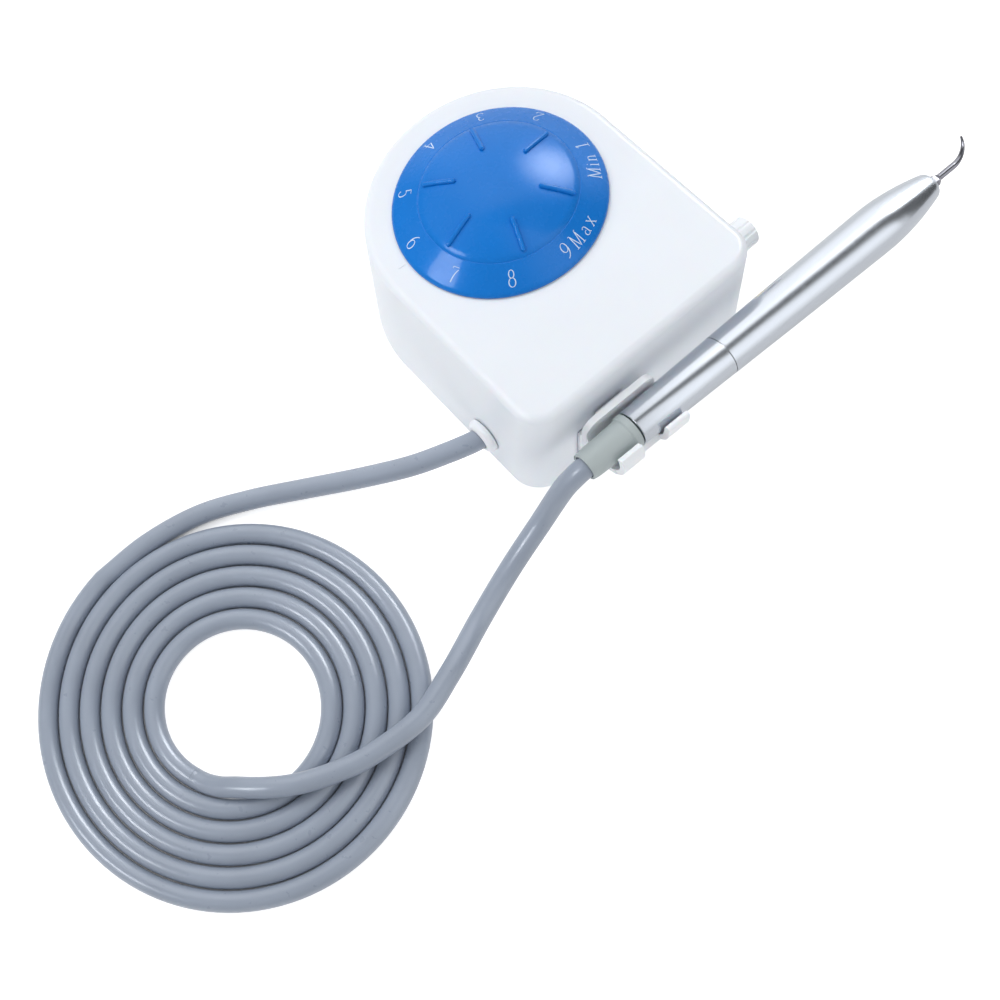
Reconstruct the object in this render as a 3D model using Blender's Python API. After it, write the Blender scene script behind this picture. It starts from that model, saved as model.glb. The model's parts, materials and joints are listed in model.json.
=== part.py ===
"""Ultrasonic dental scaler: a bench unit with a power dial, a coiled cord and a handpiece in its holder.

Pieces are drawn with the dial's axis at x = y = 0 and the table at z = 0: +X runs from the dial to the
flat end that carries the holder, +Y is the way the handpiece's tip points, +Z is up. One empty then
moves them all, so that the scene's origin is the middle of the whole footprint.
Every named size is in millimetres; MM turns it into metres when a mesh is made.
"""
import math

import bmesh
import bpy
from mathutils import Vector

MM = 0.001
GAP = 0.3  # clearance between neighbouring pieces
FOOTPRINT_MIDDLE = (41.94, -64.17)  # of the bounding box, from the dial's axis

# Housing: a D in plan, round at -X and flat at +X, with walls that lean out towards the table
HALF_WIDTH = 44.0
FLAT_X = 69.0
CORNER_R = 9.3
SHELL_BOTTOM = 1.2
SHELL_TOP = 54.2
DRAFT = 0.035
TOP_FILLET = 3.0
WALL = 2.4
PLATE_THICK = 2.4
FOOT_SPOTS = [(48.0, 30.0), (48.0, -30.0), (-20.0, 28.0), (-20.0, -28.0)]
BOSS_SPOTS = [(63.0, 19.5), (57.5, -33.0), (-30.0, 22.0), (-30.0, -22.0)]
BOSS_R = 3.2
POST_SPOTS = [(-22.0, 14.0), (-22.0, -14.0), (12.0, 14.0), (12.0, -14.0)]

# Power dial: a sloping numbered band around a dome with six finger ribs
DIAL_R = 34.4
DIAL_BOTTOM = 54.6
DIAL_EDGE = 55.4
DOME_R = 25.4
DOME_FOOT = 60.7
DOME_TOP = 66.6
RIB_INNER, RIB_OUTER = 13.0, 24.2
RIB_ANGLE = 159.5
INDEX_ANGLE = -97.0
SPINDLE_R = 3.0

# Water control on the far side, cord outlet on the near side
KNOB_X, KNOB_Z, KNOB_R, KNOB_END = 55.3, 35.7, 5.2, 54.5
VALVE_NECK_R = 2.7
OUTLET_X, OUTLET_Z = 44.8, 14.6
INLET_X, INLET_Z = 50.0, 16.0
FOOTSWITCH_X, POWER_X, SOCKET_Z = 24.0, 7.0, 18.0

# Circuit board
BOARD_LOW, BOARD_HIGH = 15.0, 16.6
PARTS_Z = BOARD_HIGH + GAP

# Cord: a flat spiral on the table, then a lead that crosses it and climbs to the handpiece
CORD_R = 3.75
CORD_Z = 3.8
COIL_OUTER = (59.6, -172.5)
COIL_INNER = (60.5, -171.9)
COIL_START_ANGLE, COIL_END_ANGLE = 187.0, 2090.0
COIL_R_START, COIL_R_END = 70.8, 28.8
CORD_SIDES = 8
COIL_STEP_ANGLE = 18.0

# Handpiece: its axis is parallel to the flat end
AXIS_X, AXIS_Z = 82.5, 37.2
REAR_Y, JOINT_Y, NOSE_Y = -17.0, 18.5, 100.0
SLEEVE_REAR_Y = -36.0
CRADLE_R, CRADLE_WALL = 7.4, 2.2
HOLDER_Y0, HOLDER_Y1 = -28.7, -1.5
HOLDER_BACK_TOP = 43.0
HOLDER_SCREW_Z = 11.0
TIP_ARC_START, TIP_ARC_R, TIP_ARC_ANGLE, TIP_ROLL = 109.2, 6.6, 84.0, 35.0
NECK_R, TIP_END_R = 0.95, 0.25


# ------------------------------------------------------------------ materials and mesh helpers


def plastic(name, colour, roughness):
    return surface(name, colour, roughness, 0.0)


def metal(name, colour, roughness):
    return surface(name, colour, roughness, 1.0)


def surface(name, colour, roughness, metallic):
    """A Principled material for one sub-part."""
    mat = bpy.data.materials.new(name)
    mat.use_nodes = True
    shader = mat.node_tree.nodes["Principled BSDF"]
    shader.inputs["Base Color"].default_value = (*colour, 1.0)
    shader.inputs["Roughness"].default_value = roughness
    shader.inputs["Metallic"].default_value = metallic
    mat.diffuse_color = (*colour, 1.0)
    return mat


def add_object(name, bm, mat, pivot=(0.0, 0.0, 0.0)):
    """Turn a closed bmesh, in millimetres, into a named object whose origin is at pivot."""
    bmesh.ops.recalc_face_normals(bm, faces=bm.faces)
    offset = Vector(pivot)
    for vert in bm.verts:
        vert.co = (vert.co - offset) * MM
    mesh = bpy.data.meshes.new(name)
    bm.to_mesh(mesh)
    bm.free()
    shade(mesh)
    obj = bpy.data.objects.new(name, mesh)
    obj.location = offset * MM
    if mat is not None:
        mesh.materials.append(mat)
    bpy.context.scene.collection.objects.link(obj)
    return obj


def shade(mesh):
    mesh.shade_smooth()
    mesh.set_sharp_from_angle(angle=math.radians(35.0))


def on_axis(axis, centre, radius, angle, height):
    """Point at a radius and an angle around an axis, height along it."""
    u, v = radius * math.cos(angle), radius * math.sin(angle)
    if axis == "Z":
        local = (u, v, height)
    elif axis == "Y":
        local = (u, height, v)
    else:
        local = (height, u, v)
    return Vector(centre) + Vector(local)


def revolve(name, profile, mat, axis="Z", centre=(0.0, 0.0, 0.0), segments=24, pivot=(0.0, 0.0, 0.0)):
    """Turn a closed loop of (radius, height) corners around an axis."""
    bm = bmesh.new()
    rings = []
    for radius, height in profile:
        count = 1 if radius == 0.0 else segments
        rings.append([
            bm.verts.new(on_axis(axis, centre, radius, 2.0 * math.pi * i / segments, height))
            for i in range(count)
        ])
    for low, high in zip(rings, rings[1:] + rings[:1]):
        if len(low) == 1 and len(high) == 1:
            continue
        for i in range(segments):
            j = (i + 1) % segments
            corners = [low[i % len(low)], low[j % len(low)], high[j % len(high)], high[i % len(high)]]
            bm.faces.new(list(dict.fromkeys(corners)))
    return add_object(name, bm, mat, pivot)


def prism(name, outline, low, high, mat, axis="Z", pivot=(0.0, 0.0, 0.0)):
    """Extrude an outline along an axis; its two coordinates are the other two, in X, Y, Z order."""
    bm = bmesh.new()
    rings = []
    for level in (low, high):
        ring = []
        for u, v in outline:
            point = {"Z": (u, v, level), "Y": (u, level, v), "X": (level, u, v)}[axis]
            ring.append(bm.verts.new(point))
        rings.append(ring)
    bm.faces.new(rings[0])
    bm.faces.new(rings[1])
    bridge(bm, rings[0], rings[1])
    return add_object(name, bm, mat, pivot)


def bridge(bm, ring_a, ring_b):
    count = len(ring_a)
    for i in range(count):
        j = (i + 1) % count
        bm.faces.new((ring_a[i], ring_a[j], ring_b[j], ring_b[i]))


def box(name, low, high, mat):
    (x0, y0, z0), (x1, y1, z1) = low, high
    return prism(name, [(x0, y0), (x1, y0), (x1, y1), (x0, y1)], z0, z1, mat)


def arc(cx, cy, radius, start, end, steps):
    """Points of a circular arc, angles in degrees, both ends included."""
    angles = [math.radians(start + (end - start) * i / steps) for i in range(steps + 1)]
    return [(cx + radius * math.cos(a), cy + radius * math.sin(a)) for a in angles]


def curve_through(points, steps):
    """Catmull-Rom curve through points, with the same number of steps between each two."""
    knots = [Vector(p) for p in points]
    knots = [2.0 * knots[0] - knots[1]] + knots + [2.0 * knots[-1] - knots[-2]]
    path = []
    for a, b, c, d in zip(knots, knots[1:], knots[2:], knots[3:]):
        for i in range(steps):
            t = i / steps
            path.append(0.5 * (2.0 * b + (c - a) * t + (2.0 * a - 5.0 * b + 4.0 * c - d) * t * t
                               + (3.0 * b - a - 3.0 * c + d) * t ** 3))
    path.append(knots[-2])
    return path


def sweep(name, path, radius, mat, sides=8, pivot=(0.0, 0.0, 0.0)):
    """Round bar along a path; radius is one number or one for each point."""
    radii = radius if isinstance(radius, list) else [radius] * len(path)
    bm = bmesh.new()
    ahead = (path[1] - path[0]).normalized()
    side = ahead.orthogonal().normalized()
    rings = []
    for i, point in enumerate(path):
        before, after = path[max(i - 1, 0)], path[min(i + 1, len(path) - 1)]
        ahead = (after - before).normalized()
        side = (side - ahead * side.dot(ahead)).normalized()
        up = ahead.cross(side)
        ring = []
        for k in range(sides):
            angle = 2.0 * math.pi * (k + 0.5) / sides
            ring.append(bm.verts.new(point + radii[i] * (math.cos(angle) * side + math.sin(angle) * up)))
        rings.append(ring)
    for ring_a, ring_b in zip(rings, rings[1:]):
        bridge(bm, ring_a, ring_b)
    bm.faces.new(rings[0])
    bm.faces.new(rings[-1])
    return add_object(name, bm, mat, pivot)


def combine(target, tools, operation):
    """Apply one Boolean for each tool and remove the tool."""
    for tool in tools:
        tool.hide_render = True
        tool.display_type = "WIRE"
        modifier = target.modifiers.new("combine", "BOOLEAN")
        modifier.operation = operation
        modifier.solver = "EXACT"
        modifier.object = tool
        bpy.context.view_layer.update()
        with bpy.context.temp_override(object=target, active_object=target):
            bpy.ops.object.modifier_apply(modifier=modifier.name)
        bpy.data.objects.remove(tool, do_unlink=True)
    shade(target.data)
    return target


def cut(target, tools):
    return combine(target, tools, "DIFFERENCE")


def join(target, tools):
    return combine(target, tools, "UNION")


def rod(radius, low, high, axis="Z", centre=(0.0, 0.0, 0.0), segments=20):
    """Plain cylinder used as a tool or as a boss."""
    profile = [(0.0, low), (radius, low), (radius, high), (0.0, high)]
    return revolve("rod", profile, None, axis, centre, segments)


# ------------------------------------------------------------------ housing


def wall_offset(z):
    """How far the outer wall stands outside the plan outline at the top."""
    return DRAFT * (SHELL_TOP - z)


def d_outline(offset, arc_steps=24, corner_steps=4):
    """Plan outline of the housing, moved outwards by offset."""
    half, flat, corner = HALF_WIDTH + offset, FLAT_X + offset, CORNER_R + offset
    points = arc(0.0, 0.0, half, 90.0, 270.0, arc_steps)
    points += arc(flat - corner, corner - half, corner, -90.0, 0.0, corner_steps)
    points += arc(flat - corner, half - corner, corner, 0.0, 90.0, corner_steps)
    return points


def shell_levels():
    """Offset and height of each ring, up the outside and down the inside."""
    levels = [(wall_offset(SHELL_BOTTOM), SHELL_BOTTOM)]
    edge_z = SHELL_TOP - TOP_FILLET
    for i in range(5):
        angle = math.radians(90.0 * i / 4)
        inset = TOP_FILLET * (1.0 - math.cos(angle))
        levels.append((wall_offset(edge_z) - inset, edge_z + TOP_FILLET * math.sin(angle)))
    inside_z = SHELL_TOP - WALL
    levels.append((wall_offset(inside_z) - WALL, inside_z))
    levels.append((wall_offset(SHELL_BOTTOM) - WALL, SHELL_BOTTOM))
    return levels


def seat_outline(depth, z_low, z_high):
    """Slice of the flat end wall, depth deep, that a holder seat fills; x and z."""
    front = 6.0
    low_x, high_x = FLAT_X + wall_offset(z_low), FLAT_X + wall_offset(z_high)
    low = [(low_x - depth, z_low), (low_x + front, z_low)]
    high = [(high_x + front, z_high), (high_x - depth, z_high)]
    return low + high


def make_housing(mat):
    bm = bmesh.new()
    rings = []
    for offset, z in shell_levels():
        rings.append([bm.verts.new((x, y, z)) for x, y in d_outline(offset)])
    for ring_a, ring_b in zip(rings, rings[1:] + rings[:1]):
        if ring_a is rings[5]:
            bm.faces.new(ring_a)
            bm.faces.new(ring_b)
        else:
            bridge(bm, ring_a, ring_b)
    shell = add_object("housing_shell", bm, mat)
    boss_low, boss_high = SHELL_BOTTOM + PLATE_THICK + GAP, SHELL_TOP - WALL / 2
    bosses = [rod(BOSS_R, boss_low, boss_high, centre=(x, y, 0.0), segments=12) for x, y in BOSS_SPOTS]
    inner_face = FLAT_X + wall_offset(HOLDER_SCREW_Z) - WALL
    bosses += [
        rod(BOSS_R, inner_face - 6.0, inner_face + WALL / 2, "X", (0.0, y, HOLDER_SCREW_Z), 12)
        for y in holder_screw_spots()
    ]
    join(shell, bosses)
    cut(shell, housing_cutters(inner_face))
    return shell


def housing_cutters(inner_face):
    """Pilot holes, panel holes, the holder's seat and the dial's index line."""
    tools = [rod(1.5, 0.0, 16.0, centre=(x, y, 0.0), segments=10) for x, y in BOSS_SPOTS]
    tools.append(rod(4.3, 45.0, 60.0))
    tools.append(rod(VALVE_NECK_R + 0.4, 40.0, 50.0, "Y", (KNOB_X, 0.0, KNOB_Z)))
    tools.append(rod(3.3, 40.0, 50.0, "Y", (INLET_X, 0.0, INLET_Z)))
    tools.append(rod(5.6, 40.0, 50.0, "Y", (FOOTSWITCH_X, 0.0, SOCKET_Z)))
    tools.append(rod(4.6, 40.0, 50.0, "Y", (POWER_X, 0.0, SOCKET_Z)))
    tools.append(rod(5.2, -50.0, -40.0, "Y", (OUTLET_X, 0.0, OUTLET_Z)))
    tools.append(prism("seat", seat_outline(1.2, 5.0, 30.6), HOLDER_Y0, HOLDER_Y1 + 0.2, None, "Y"))
    tools += [
        rod(1.5, inner_face - 4.8, inner_face + 6.0, "X", (0.0, y, HOLDER_SCREW_Z), 10)
        for y in holder_screw_spots()
    ]
    tools.append(index_cutter())
    return tools


def index_cutter():
    """Fine radial line beside the dial that its numbers are read against."""
    angle = math.radians(INDEX_ANGLE)
    along = Vector((math.cos(angle), math.sin(angle)))
    across = Vector((-along.y, along.x)) * 0.2
    near, far = along * 35.4, along * 38.4
    outline = [tuple(near - across), tuple(far - across), tuple(far + across), tuple(near + across)]
    return prism("index", outline, SHELL_TOP - 0.25, SHELL_TOP + 1.0, None)


def make_base_plate(mat):
    top = SHELL_BOTTOM + PLATE_THICK
    offset = wall_offset(top) - WALL - GAP
    plate = prism("base_plate", d_outline(offset), SHELL_BOTTOM, top, mat)
    posts = [rod(2.2, top - 1.0, BOARD_LOW - GAP, centre=(x, y, 0.0), segments=10) for x, y in POST_SPOTS]
    posts += [rod(1.0, top, BOARD_HIGH + 1.4, centre=(x, y, 0.0), segments=8) for x, y in POST_SPOTS]
    join(plate, posts)
    tools = [rod(1.9, 0.0, 6.0, centre=(x, y, 0.0), segments=12) for x, y in FOOT_SPOTS]
    tools += [rod(1.6, 0.0, 6.0, centre=(x, y, 0.0), segments=12) for x, y in BOSS_SPOTS]
    tools += [rod(3.1, 0.0, SHELL_BOTTOM + 1.1, centre=(x, y, 0.0), segments=16) for x, y in BOSS_SPOTS]
    for i in range(4):
        x = 20.0 + 5.0 * i
        tools.append(box("vent", (x, -12.0, 0.0), (x + 2.0, 12.0, 6.0), None))
    return cut(plate, tools)


def make_feet_and_screws(rubber, steel):
    top = SHELL_BOTTOM + PLATE_THICK
    foot = [(0.0, 0.0), (4.6, 0.0), (5.0, 0.4), (5.0, 0.9), (1.6, 0.9),
            (1.6, top + GAP), (2.6, top + GAP), (1.4, top + 2.0), (0.0, top + 2.0)]
    screw = [(0.0, 1.35), (2.4, 1.35), (2.7, 1.6), (2.7, 2.0), (1.2, 2.0), (1.2, 13.0), (0.0, 14.0)]
    for number, (x, y) in enumerate(FOOT_SPOTS, 1):
        revolve(f"foot_{number}", foot, rubber, centre=(x, y, 0.0), segments=18)
    for number, (x, y) in enumerate(BOSS_SPOTS, 1):
        revolve(f"base_screw_{number}", screw, steel, centre=(x, y, 0.0), segments=12)


# ------------------------------------------------------------------ power control


def dome_height(radius):
    """Height of the dial's dome, part of a sphere, at a radius."""
    drop = DOME_TOP - DOME_FOOT - 0.2
    sphere = (DOME_R ** 2 + drop ** 2) / (2.0 * drop)
    return DOME_TOP - sphere + math.sqrt(sphere ** 2 - radius ** 2)


def make_dial(mat):
    skin = 2.2
    outside = [(r, dome_height(r)) for r in (0.0, 6.0, 12.0, 17.0, 21.5, DOME_R - 0.2)]
    outside += [(DOME_R, DOME_FOOT), (30.0, 58.4), (DIAL_R - 0.5, DIAL_EDGE + 0.4), (DIAL_R, DIAL_EDGE)]
    inside = [(DIAL_R, DIAL_BOTTOM), (DIAL_R - 1.6, DIAL_BOTTOM), (24.6, 59.0)]
    inside += [(r, dome_height(r) - skin) for r in (18.0, 12.0, 6.5)]
    hub = [(6.5, 57.6), (SPINDLE_R + GAP, 57.6), (SPINDLE_R + GAP, 63.6), (0.0, 63.6)]
    dial = revolve("power_dial", outside + inside + hub, mat, segments=48)
    ribs = []
    for i in range(6):
        angle = math.radians(RIB_ANGLE + 60.0 * i)
        path = []
        for k in range(5):
            r = RIB_INNER + (RIB_OUTER - RIB_INNER) * k / 4
            path.append(Vector((r * math.cos(angle), r * math.sin(angle), dome_height(r) + 0.3)))
        ribs.append(sweep("rib", path, [0.5, 0.8, 0.8, 0.8, 0.5], None, sides=8))
    return join(dial, ribs)


def make_potentiometer(body_mat, steel):
    bore = SPINDLE_R + GAP
    body_top = SHELL_TOP - WALL - GAP
    body = [(0.0, 42.5), (8.5, 42.5), (8.5, body_top), (3.9, body_top), (3.9, 57.3), (bore, 57.3),
            (bore, 44.0), (0.0, 44.0)]
    revolve("potentiometer_body", body, body_mat, segments=20)
    shaft = [(0.0, 44.4), (SPINDLE_R, 44.4), (SPINDLE_R, 63.2), (0.0, 63.2)]
    revolve("potentiometer_shaft", shaft, steel, segments=16)
    nut = [(4.9, SHELL_TOP + GAP), (6.6, SHELL_TOP + GAP), (6.6, 57.0), (4.9, 57.0)]
    revolve("potentiometer_nut", nut, steel, segments=6)


# ------------------------------------------------------------------ electronics


def make_board(mat):
    board = box("main_board", (-26.0, -30.0, BOARD_LOW), (16.0, 30.0, BOARD_HIGH), mat)
    return cut(board, [rod(1.4, 10.0, 20.0, centre=(x, y, 0.0), segments=10) for x, y in POST_SPOTS])


def make_transformer(core_mat, wire_mat):
    """E-core with the winding around its middle leg."""
    top = PARTS_Z + 22.0
    core = box("transformer_core", (-18.0, -22.0, PARTS_Z), (10.0, -10.0, top), core_mat)
    low, high = PARTS_Z + 3.0, PARTS_Z + 19.0
    cut(core, [box("window", (x, -25.0, low), (x + 7.0, -5.0, high), None) for x in (-15.0, 0.0)])
    winding = box("transformer_winding", (-14.6, -26.5, low + 0.4), (6.6, -5.5, high - 0.4), wire_mat)
    cut(winding, [box("leg", (-8.4, -22.4, PARTS_Z), (0.4, -9.6, top), None)])


def make_heatsink(mat):
    """Aluminium comb: a back plate with fins."""
    fins, pitch, fin = 7, 4.4, 1.6
    x0, root, tip, back = -20.0, 21.0, 11.0, 24.0
    outline = [(x0, back)]
    for i in range(fins):
        x = x0 + pitch * i
        outline += [(x, tip), (x + fin, tip)]
        if i < fins - 1:
            outline += [(x + fin, root), (x + pitch, root)]
    outline.append((x0 + pitch * (fins - 1) + fin, back))
    return prism("heatsink", outline, PARTS_Z, PARTS_Z + 18.0, mat)


def make_board_parts(black, blue):
    tab = [(-12.0, PARTS_Z + 3.0), (-2.0, PARTS_Z + 3.0), (-2.0, PARTS_Z + 16.0), (-12.0, PARTS_Z + 16.0)]
    prism("power_transistor", tab, 24.3, 28.6, black, "Y")
    for name, x, y, radius, height in (("capacitor_large", -20.5, 0.0, 4.6, 18.0),
                                       ("capacitor_small", 11.5, -25.5, 3.2, 11.0)):
        profile = [(0.0, 0.0), (radius, 0.0), (radius, height - 0.6), (radius - 0.6, height), (0.0, height)]
        revolve(name, profile, blue, centre=(x, y, PARTS_Z), segments=16)


# ------------------------------------------------------------------ water circuit


def make_solenoid_valve(brass, coil_mat, steel):
    centre = (34.0, 28.0, 0.0)
    box("solenoid_valve_body", (24.0, 22.0, 8.0), (44.0, 34.0, 18.0), brass)
    coil = [(3.0, 18.4), (8.0, 18.4), (8.0, 37.0), (0.0, 37.0), (0.0, 35.6), (3.0, 35.6)]
    revolve("solenoid_coil", coil, coil_mat, centre=centre, segments=20)
    plunger = [(0.0, 18.5), (2.6, 18.5), (2.6, 33.4), (0.0, 33.4)]
    revolve("solenoid_plunger", plunger, steel, centre=centre, segments=16)


def make_water_valve(brass, steel, knob_mat):
    centre = (KNOB_X, 0.0, KNOB_Z)
    neck, bore = VALVE_NECK_R, 2.3
    body = [(0.0, 24.0), (6.5, 24.0), (6.5, 41.4), (neck, 41.4), (neck, 45.2), (bore, 45.2), (bore, 28.0),
            (0.0, 28.0)]
    revolve("water_valve_body", body, brass, "Y", centre, 20)
    nut = [(neck + 0.6, 45.2), (neck + 1.1, 45.2), (neck + 1.1, 46.8), (neck + 0.6, 46.8)]
    revolve("water_valve_nut", nut, steel, "Y", centre, 6)
    stem = [(0.0, 28.6), (1.0, 31.0), (2.0, 32.0), (2.0, 52.0), (0.0, 52.0)]
    revolve("water_valve_stem", stem, steel, "Y", centre, 12, pivot=centre)
    recess = neck + 1.5
    knob = [(2.3, 47.4), (recess, 47.4), (recess, 45.3), (KNOB_R - 0.2, 45.3), (KNOB_R, 45.6),
            (KNOB_R, KNOB_END - 1.0), (KNOB_R - 0.8, KNOB_END), (0.0, KNOB_END), (0.0, 52.4), (2.3, 52.4)]
    knob_object = revolve("water_knob", knob, knob_mat, "Y", centre, 30, pivot=centre)
    grooves = []
    for i in range(10):
        angle = 2.0 * math.pi * (i + 0.5) / 10
        spot = on_axis("Y", centre, KNOB_R + 0.15, angle, 0.0)
        grooves.append(rod(0.55, 46.6, 60.0, "Y", tuple(spot), 8))
    return cut(knob_object, grooves)


def make_panel_fittings(brass, black):
    inlet = [(1.2, 37.0), (2.3, 37.0), (2.9, 40.0), (2.9, 45.9), (4.4, 45.9), (4.4, 47.4), (2.2, 47.4),
             (2.2, 50.0), (3.0, 50.2), (2.2, 53.0), (3.0, 53.2), (1.8, 57.0), (1.2, 57.0)]
    revolve("water_inlet", inlet, brass, "Y", (INLET_X, 0.0, INLET_Z), 16)
    sockets = [("footswitch_socket", FOOTSWITCH_X, 5.2, 3.6), ("power_socket", POWER_X, 4.2, 2.9)]
    for name, x, barrel, bore in sockets:
        profile = [(0.0, 38.0), (barrel, 38.0), (barrel, 45.9), (barrel + 1.4, 45.9), (barrel + 1.4, 46.9),
                   (bore, 46.9), (bore, 40.0), (0.9, 40.0), (0.9, 45.4), (0.0, 45.4)]
        revolve(name, profile, black, "Y", (x, 0.0, SOCKET_Z), 20)


def make_inner_lines(tube_mat, wire_mat):
    """Water tubes from inlet to solenoid to needle valve to cord, and the transducer's wire."""
    supply = [(INLET_X, 36.6, INLET_Z), (INLET_X, 32.0, 15.2), (48.0, 28.6, 13.4), (44.4, 28.0, 13.0)]
    middle = [(34.0, 21.6, 13.0), (36.0, 15.0, 14.5), (48.0, 9.0, 26.0), (56.0, 14.0, 34.5),
              (KNOB_X, 23.6, KNOB_Z)]
    outlet = [(KNOB_X, 32.0, 28.8), (55.5, 28.5, 20.0), (53.5, 12.0, 10.0), (54.5, -12.0, 9.0),
              (50.0, -27.0, 12.0), (45.8, -35.6, 13.6)]
    wire = [(14.0, -20.0, PARTS_Z + 1.2), (22.0, -21.0, 21.0), (34.0, -27.0, 20.5), (42.6, -35.6, 17.0)]
    sweep("water_tube_supply", curve_through(supply, 4), 1.9, tube_mat)
    sweep("water_tube_middle", curve_through(middle, 4), 1.9, tube_mat)
    sweep("water_tube_outlet", curve_through(outlet, 4), 1.6, tube_mat)
    sweep("transducer_wire", curve_through(wire, 4), 0.8, wire_mat)


# ------------------------------------------------------------------ cord


def coil_point(angle_deg):
    """Centre line of the flat spiral, which drifts a little from its outer to its inner centre."""
    t = (angle_deg - COIL_START_ANGLE) / (COIL_END_ANGLE - COIL_START_ANGLE)
    radius = COIL_R_START + (COIL_R_END - COIL_R_START) * t
    cx = COIL_OUTER[0] + (COIL_INNER[0] - COIL_OUTER[0]) * t
    cy = COIL_OUTER[1] + (COIL_INNER[1] - COIL_OUTER[1]) * t
    angle = math.radians(angle_deg)
    return Vector((cx + radius * math.cos(angle), cy + radius * math.sin(angle), CORD_Z))


def make_cord(mat):
    first = coil_point(COIL_START_ANGLE)
    run = [(OUTLET_X, -36.3, OUTLET_Z), (OUTLET_X, -43.0, OUTLET_Z), (OUTLET_X - 0.6, -50.0, 14.4),
           (39.8, -60.5, 12.2), (34.0, -72.0, 9.8), (24.0, -87.5, 6.8), (13.0, -104.0, 4.8),
           (2.5, -121.0, 4.0), (-6.0, -139.0, CORD_Z), (-10.4, -160.0, CORD_Z), tuple(first)]
    path = curve_through(run, 3)[:-1]
    turns = int(round((COIL_END_ANGLE - COIL_START_ANGLE) / COIL_STEP_ANGLE))
    for i in range(turns + 1):
        path.append(coil_point(COIL_START_ANGLE + (COIL_END_ANGLE - COIL_START_ANGLE) * i / turns))
    sweep("cable_coil", path, CORD_R, mat, sides=CORD_SIDES)
    last = coil_point(COIL_END_ANGLE)
    ahead = (last - coil_point(COIL_END_ANGLE - 2.0)).normalized()
    start = last + ahead * (GAP + 1.9)
    lead = [tuple(start), (75.9, -196.3, 4.7), (80.2, -193.0, 6.6), (84.0, -188.9, 8.7), (88.3, -184.3, 10.4),
            (92.5, -179.2, 11.6), (96.3, -173.5, 12.0), (99.4, -167.2, 11.9), (102.4, -159.2, 11.9),
            (105.6, -146.5, 11.9), (106.4, -126.0, 11.9), (101.0, -108.5, 11.2), (92.5, -88.5, 8.8),
            (86.4, -70.4, 12.0), (82.8, -54.0, 20.0), (81.8, -43.5, 30.6), (82.2, SLEEVE_REAR_Y - 2.9, 34.9)]
    sweep("cable_lead", curve_through(lead, 4), CORD_R, mat, sides=CORD_SIDES)


def make_outlet(white, grey):
    centre = (OUTLET_X, 0.0, OUTLET_Z)
    bore = CORD_R + GAP + 0.05
    grommet = [(bore, -48.6), (5.2, -48.6), (6.2, -47.7), (6.5, -46.7), (6.5, -45.75), (4.9, -45.75),
               (4.9, -42.55), (6.0, -42.55), (6.0, -41.0), (bore, -41.0)]
    revolve("cable_grommet", grommet, white, "Y", centre, 24)
    clamp = [(bore, -40.5), (5.8, -40.5), (5.8, -37.2), (bore, -37.2)]
    revolve("cable_clamp", clamp, grey, "Y", centre, 20)


# ------------------------------------------------------------------ holder


def holder_screw_spots():
    middle = (HOLDER_Y0 + HOLDER_Y1) / 2
    return (middle - 9.0, middle + 9.0)


def hook_outline(start, end):
    """Section of a finger that follows the handpiece round, between two angles in degrees."""
    inner = arc(AXIS_X, AXIS_Z, CRADLE_R, start, end, 14)
    return inner + arc(AXIS_X, AXIS_Z, CRADLE_R + CRADLE_WALL, end, start, 14)


def trough_outline(start, lip):
    """Section of the cradle around the handpiece: an arc from start degrees, then an upright lip."""
    inner = arc(AXIS_X, AXIS_Z, CRADLE_R, start, 360.0, 12)
    outer = arc(AXIS_X, AXIS_Z, CRADLE_R + CRADLE_WALL, 360.0, start, 12)
    if lip == 0.0:
        return inner[:-3] + outer[3:]
    crown = arc(AXIS_X + CRADLE_R + CRADLE_WALL / 2, AXIS_Z + lip, CRADLE_WALL / 2, 180.0, 0.0, 4)
    return inner + crown + outer


def arm_outline(reach_x):
    """Side view of the arm, which grows out of the seat plate and clears the wall above it."""
    seat_top = 26.0
    seat_x = FLAT_X + wall_offset(seat_top)
    return [(seat_x, 14.0), (reach_x, 18.0), (reach_x, 36.0), (seat_x + 0.3, 36.0),
            (seat_x + 0.35, seat_top), (seat_x, seat_top - 1.0)]


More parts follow.
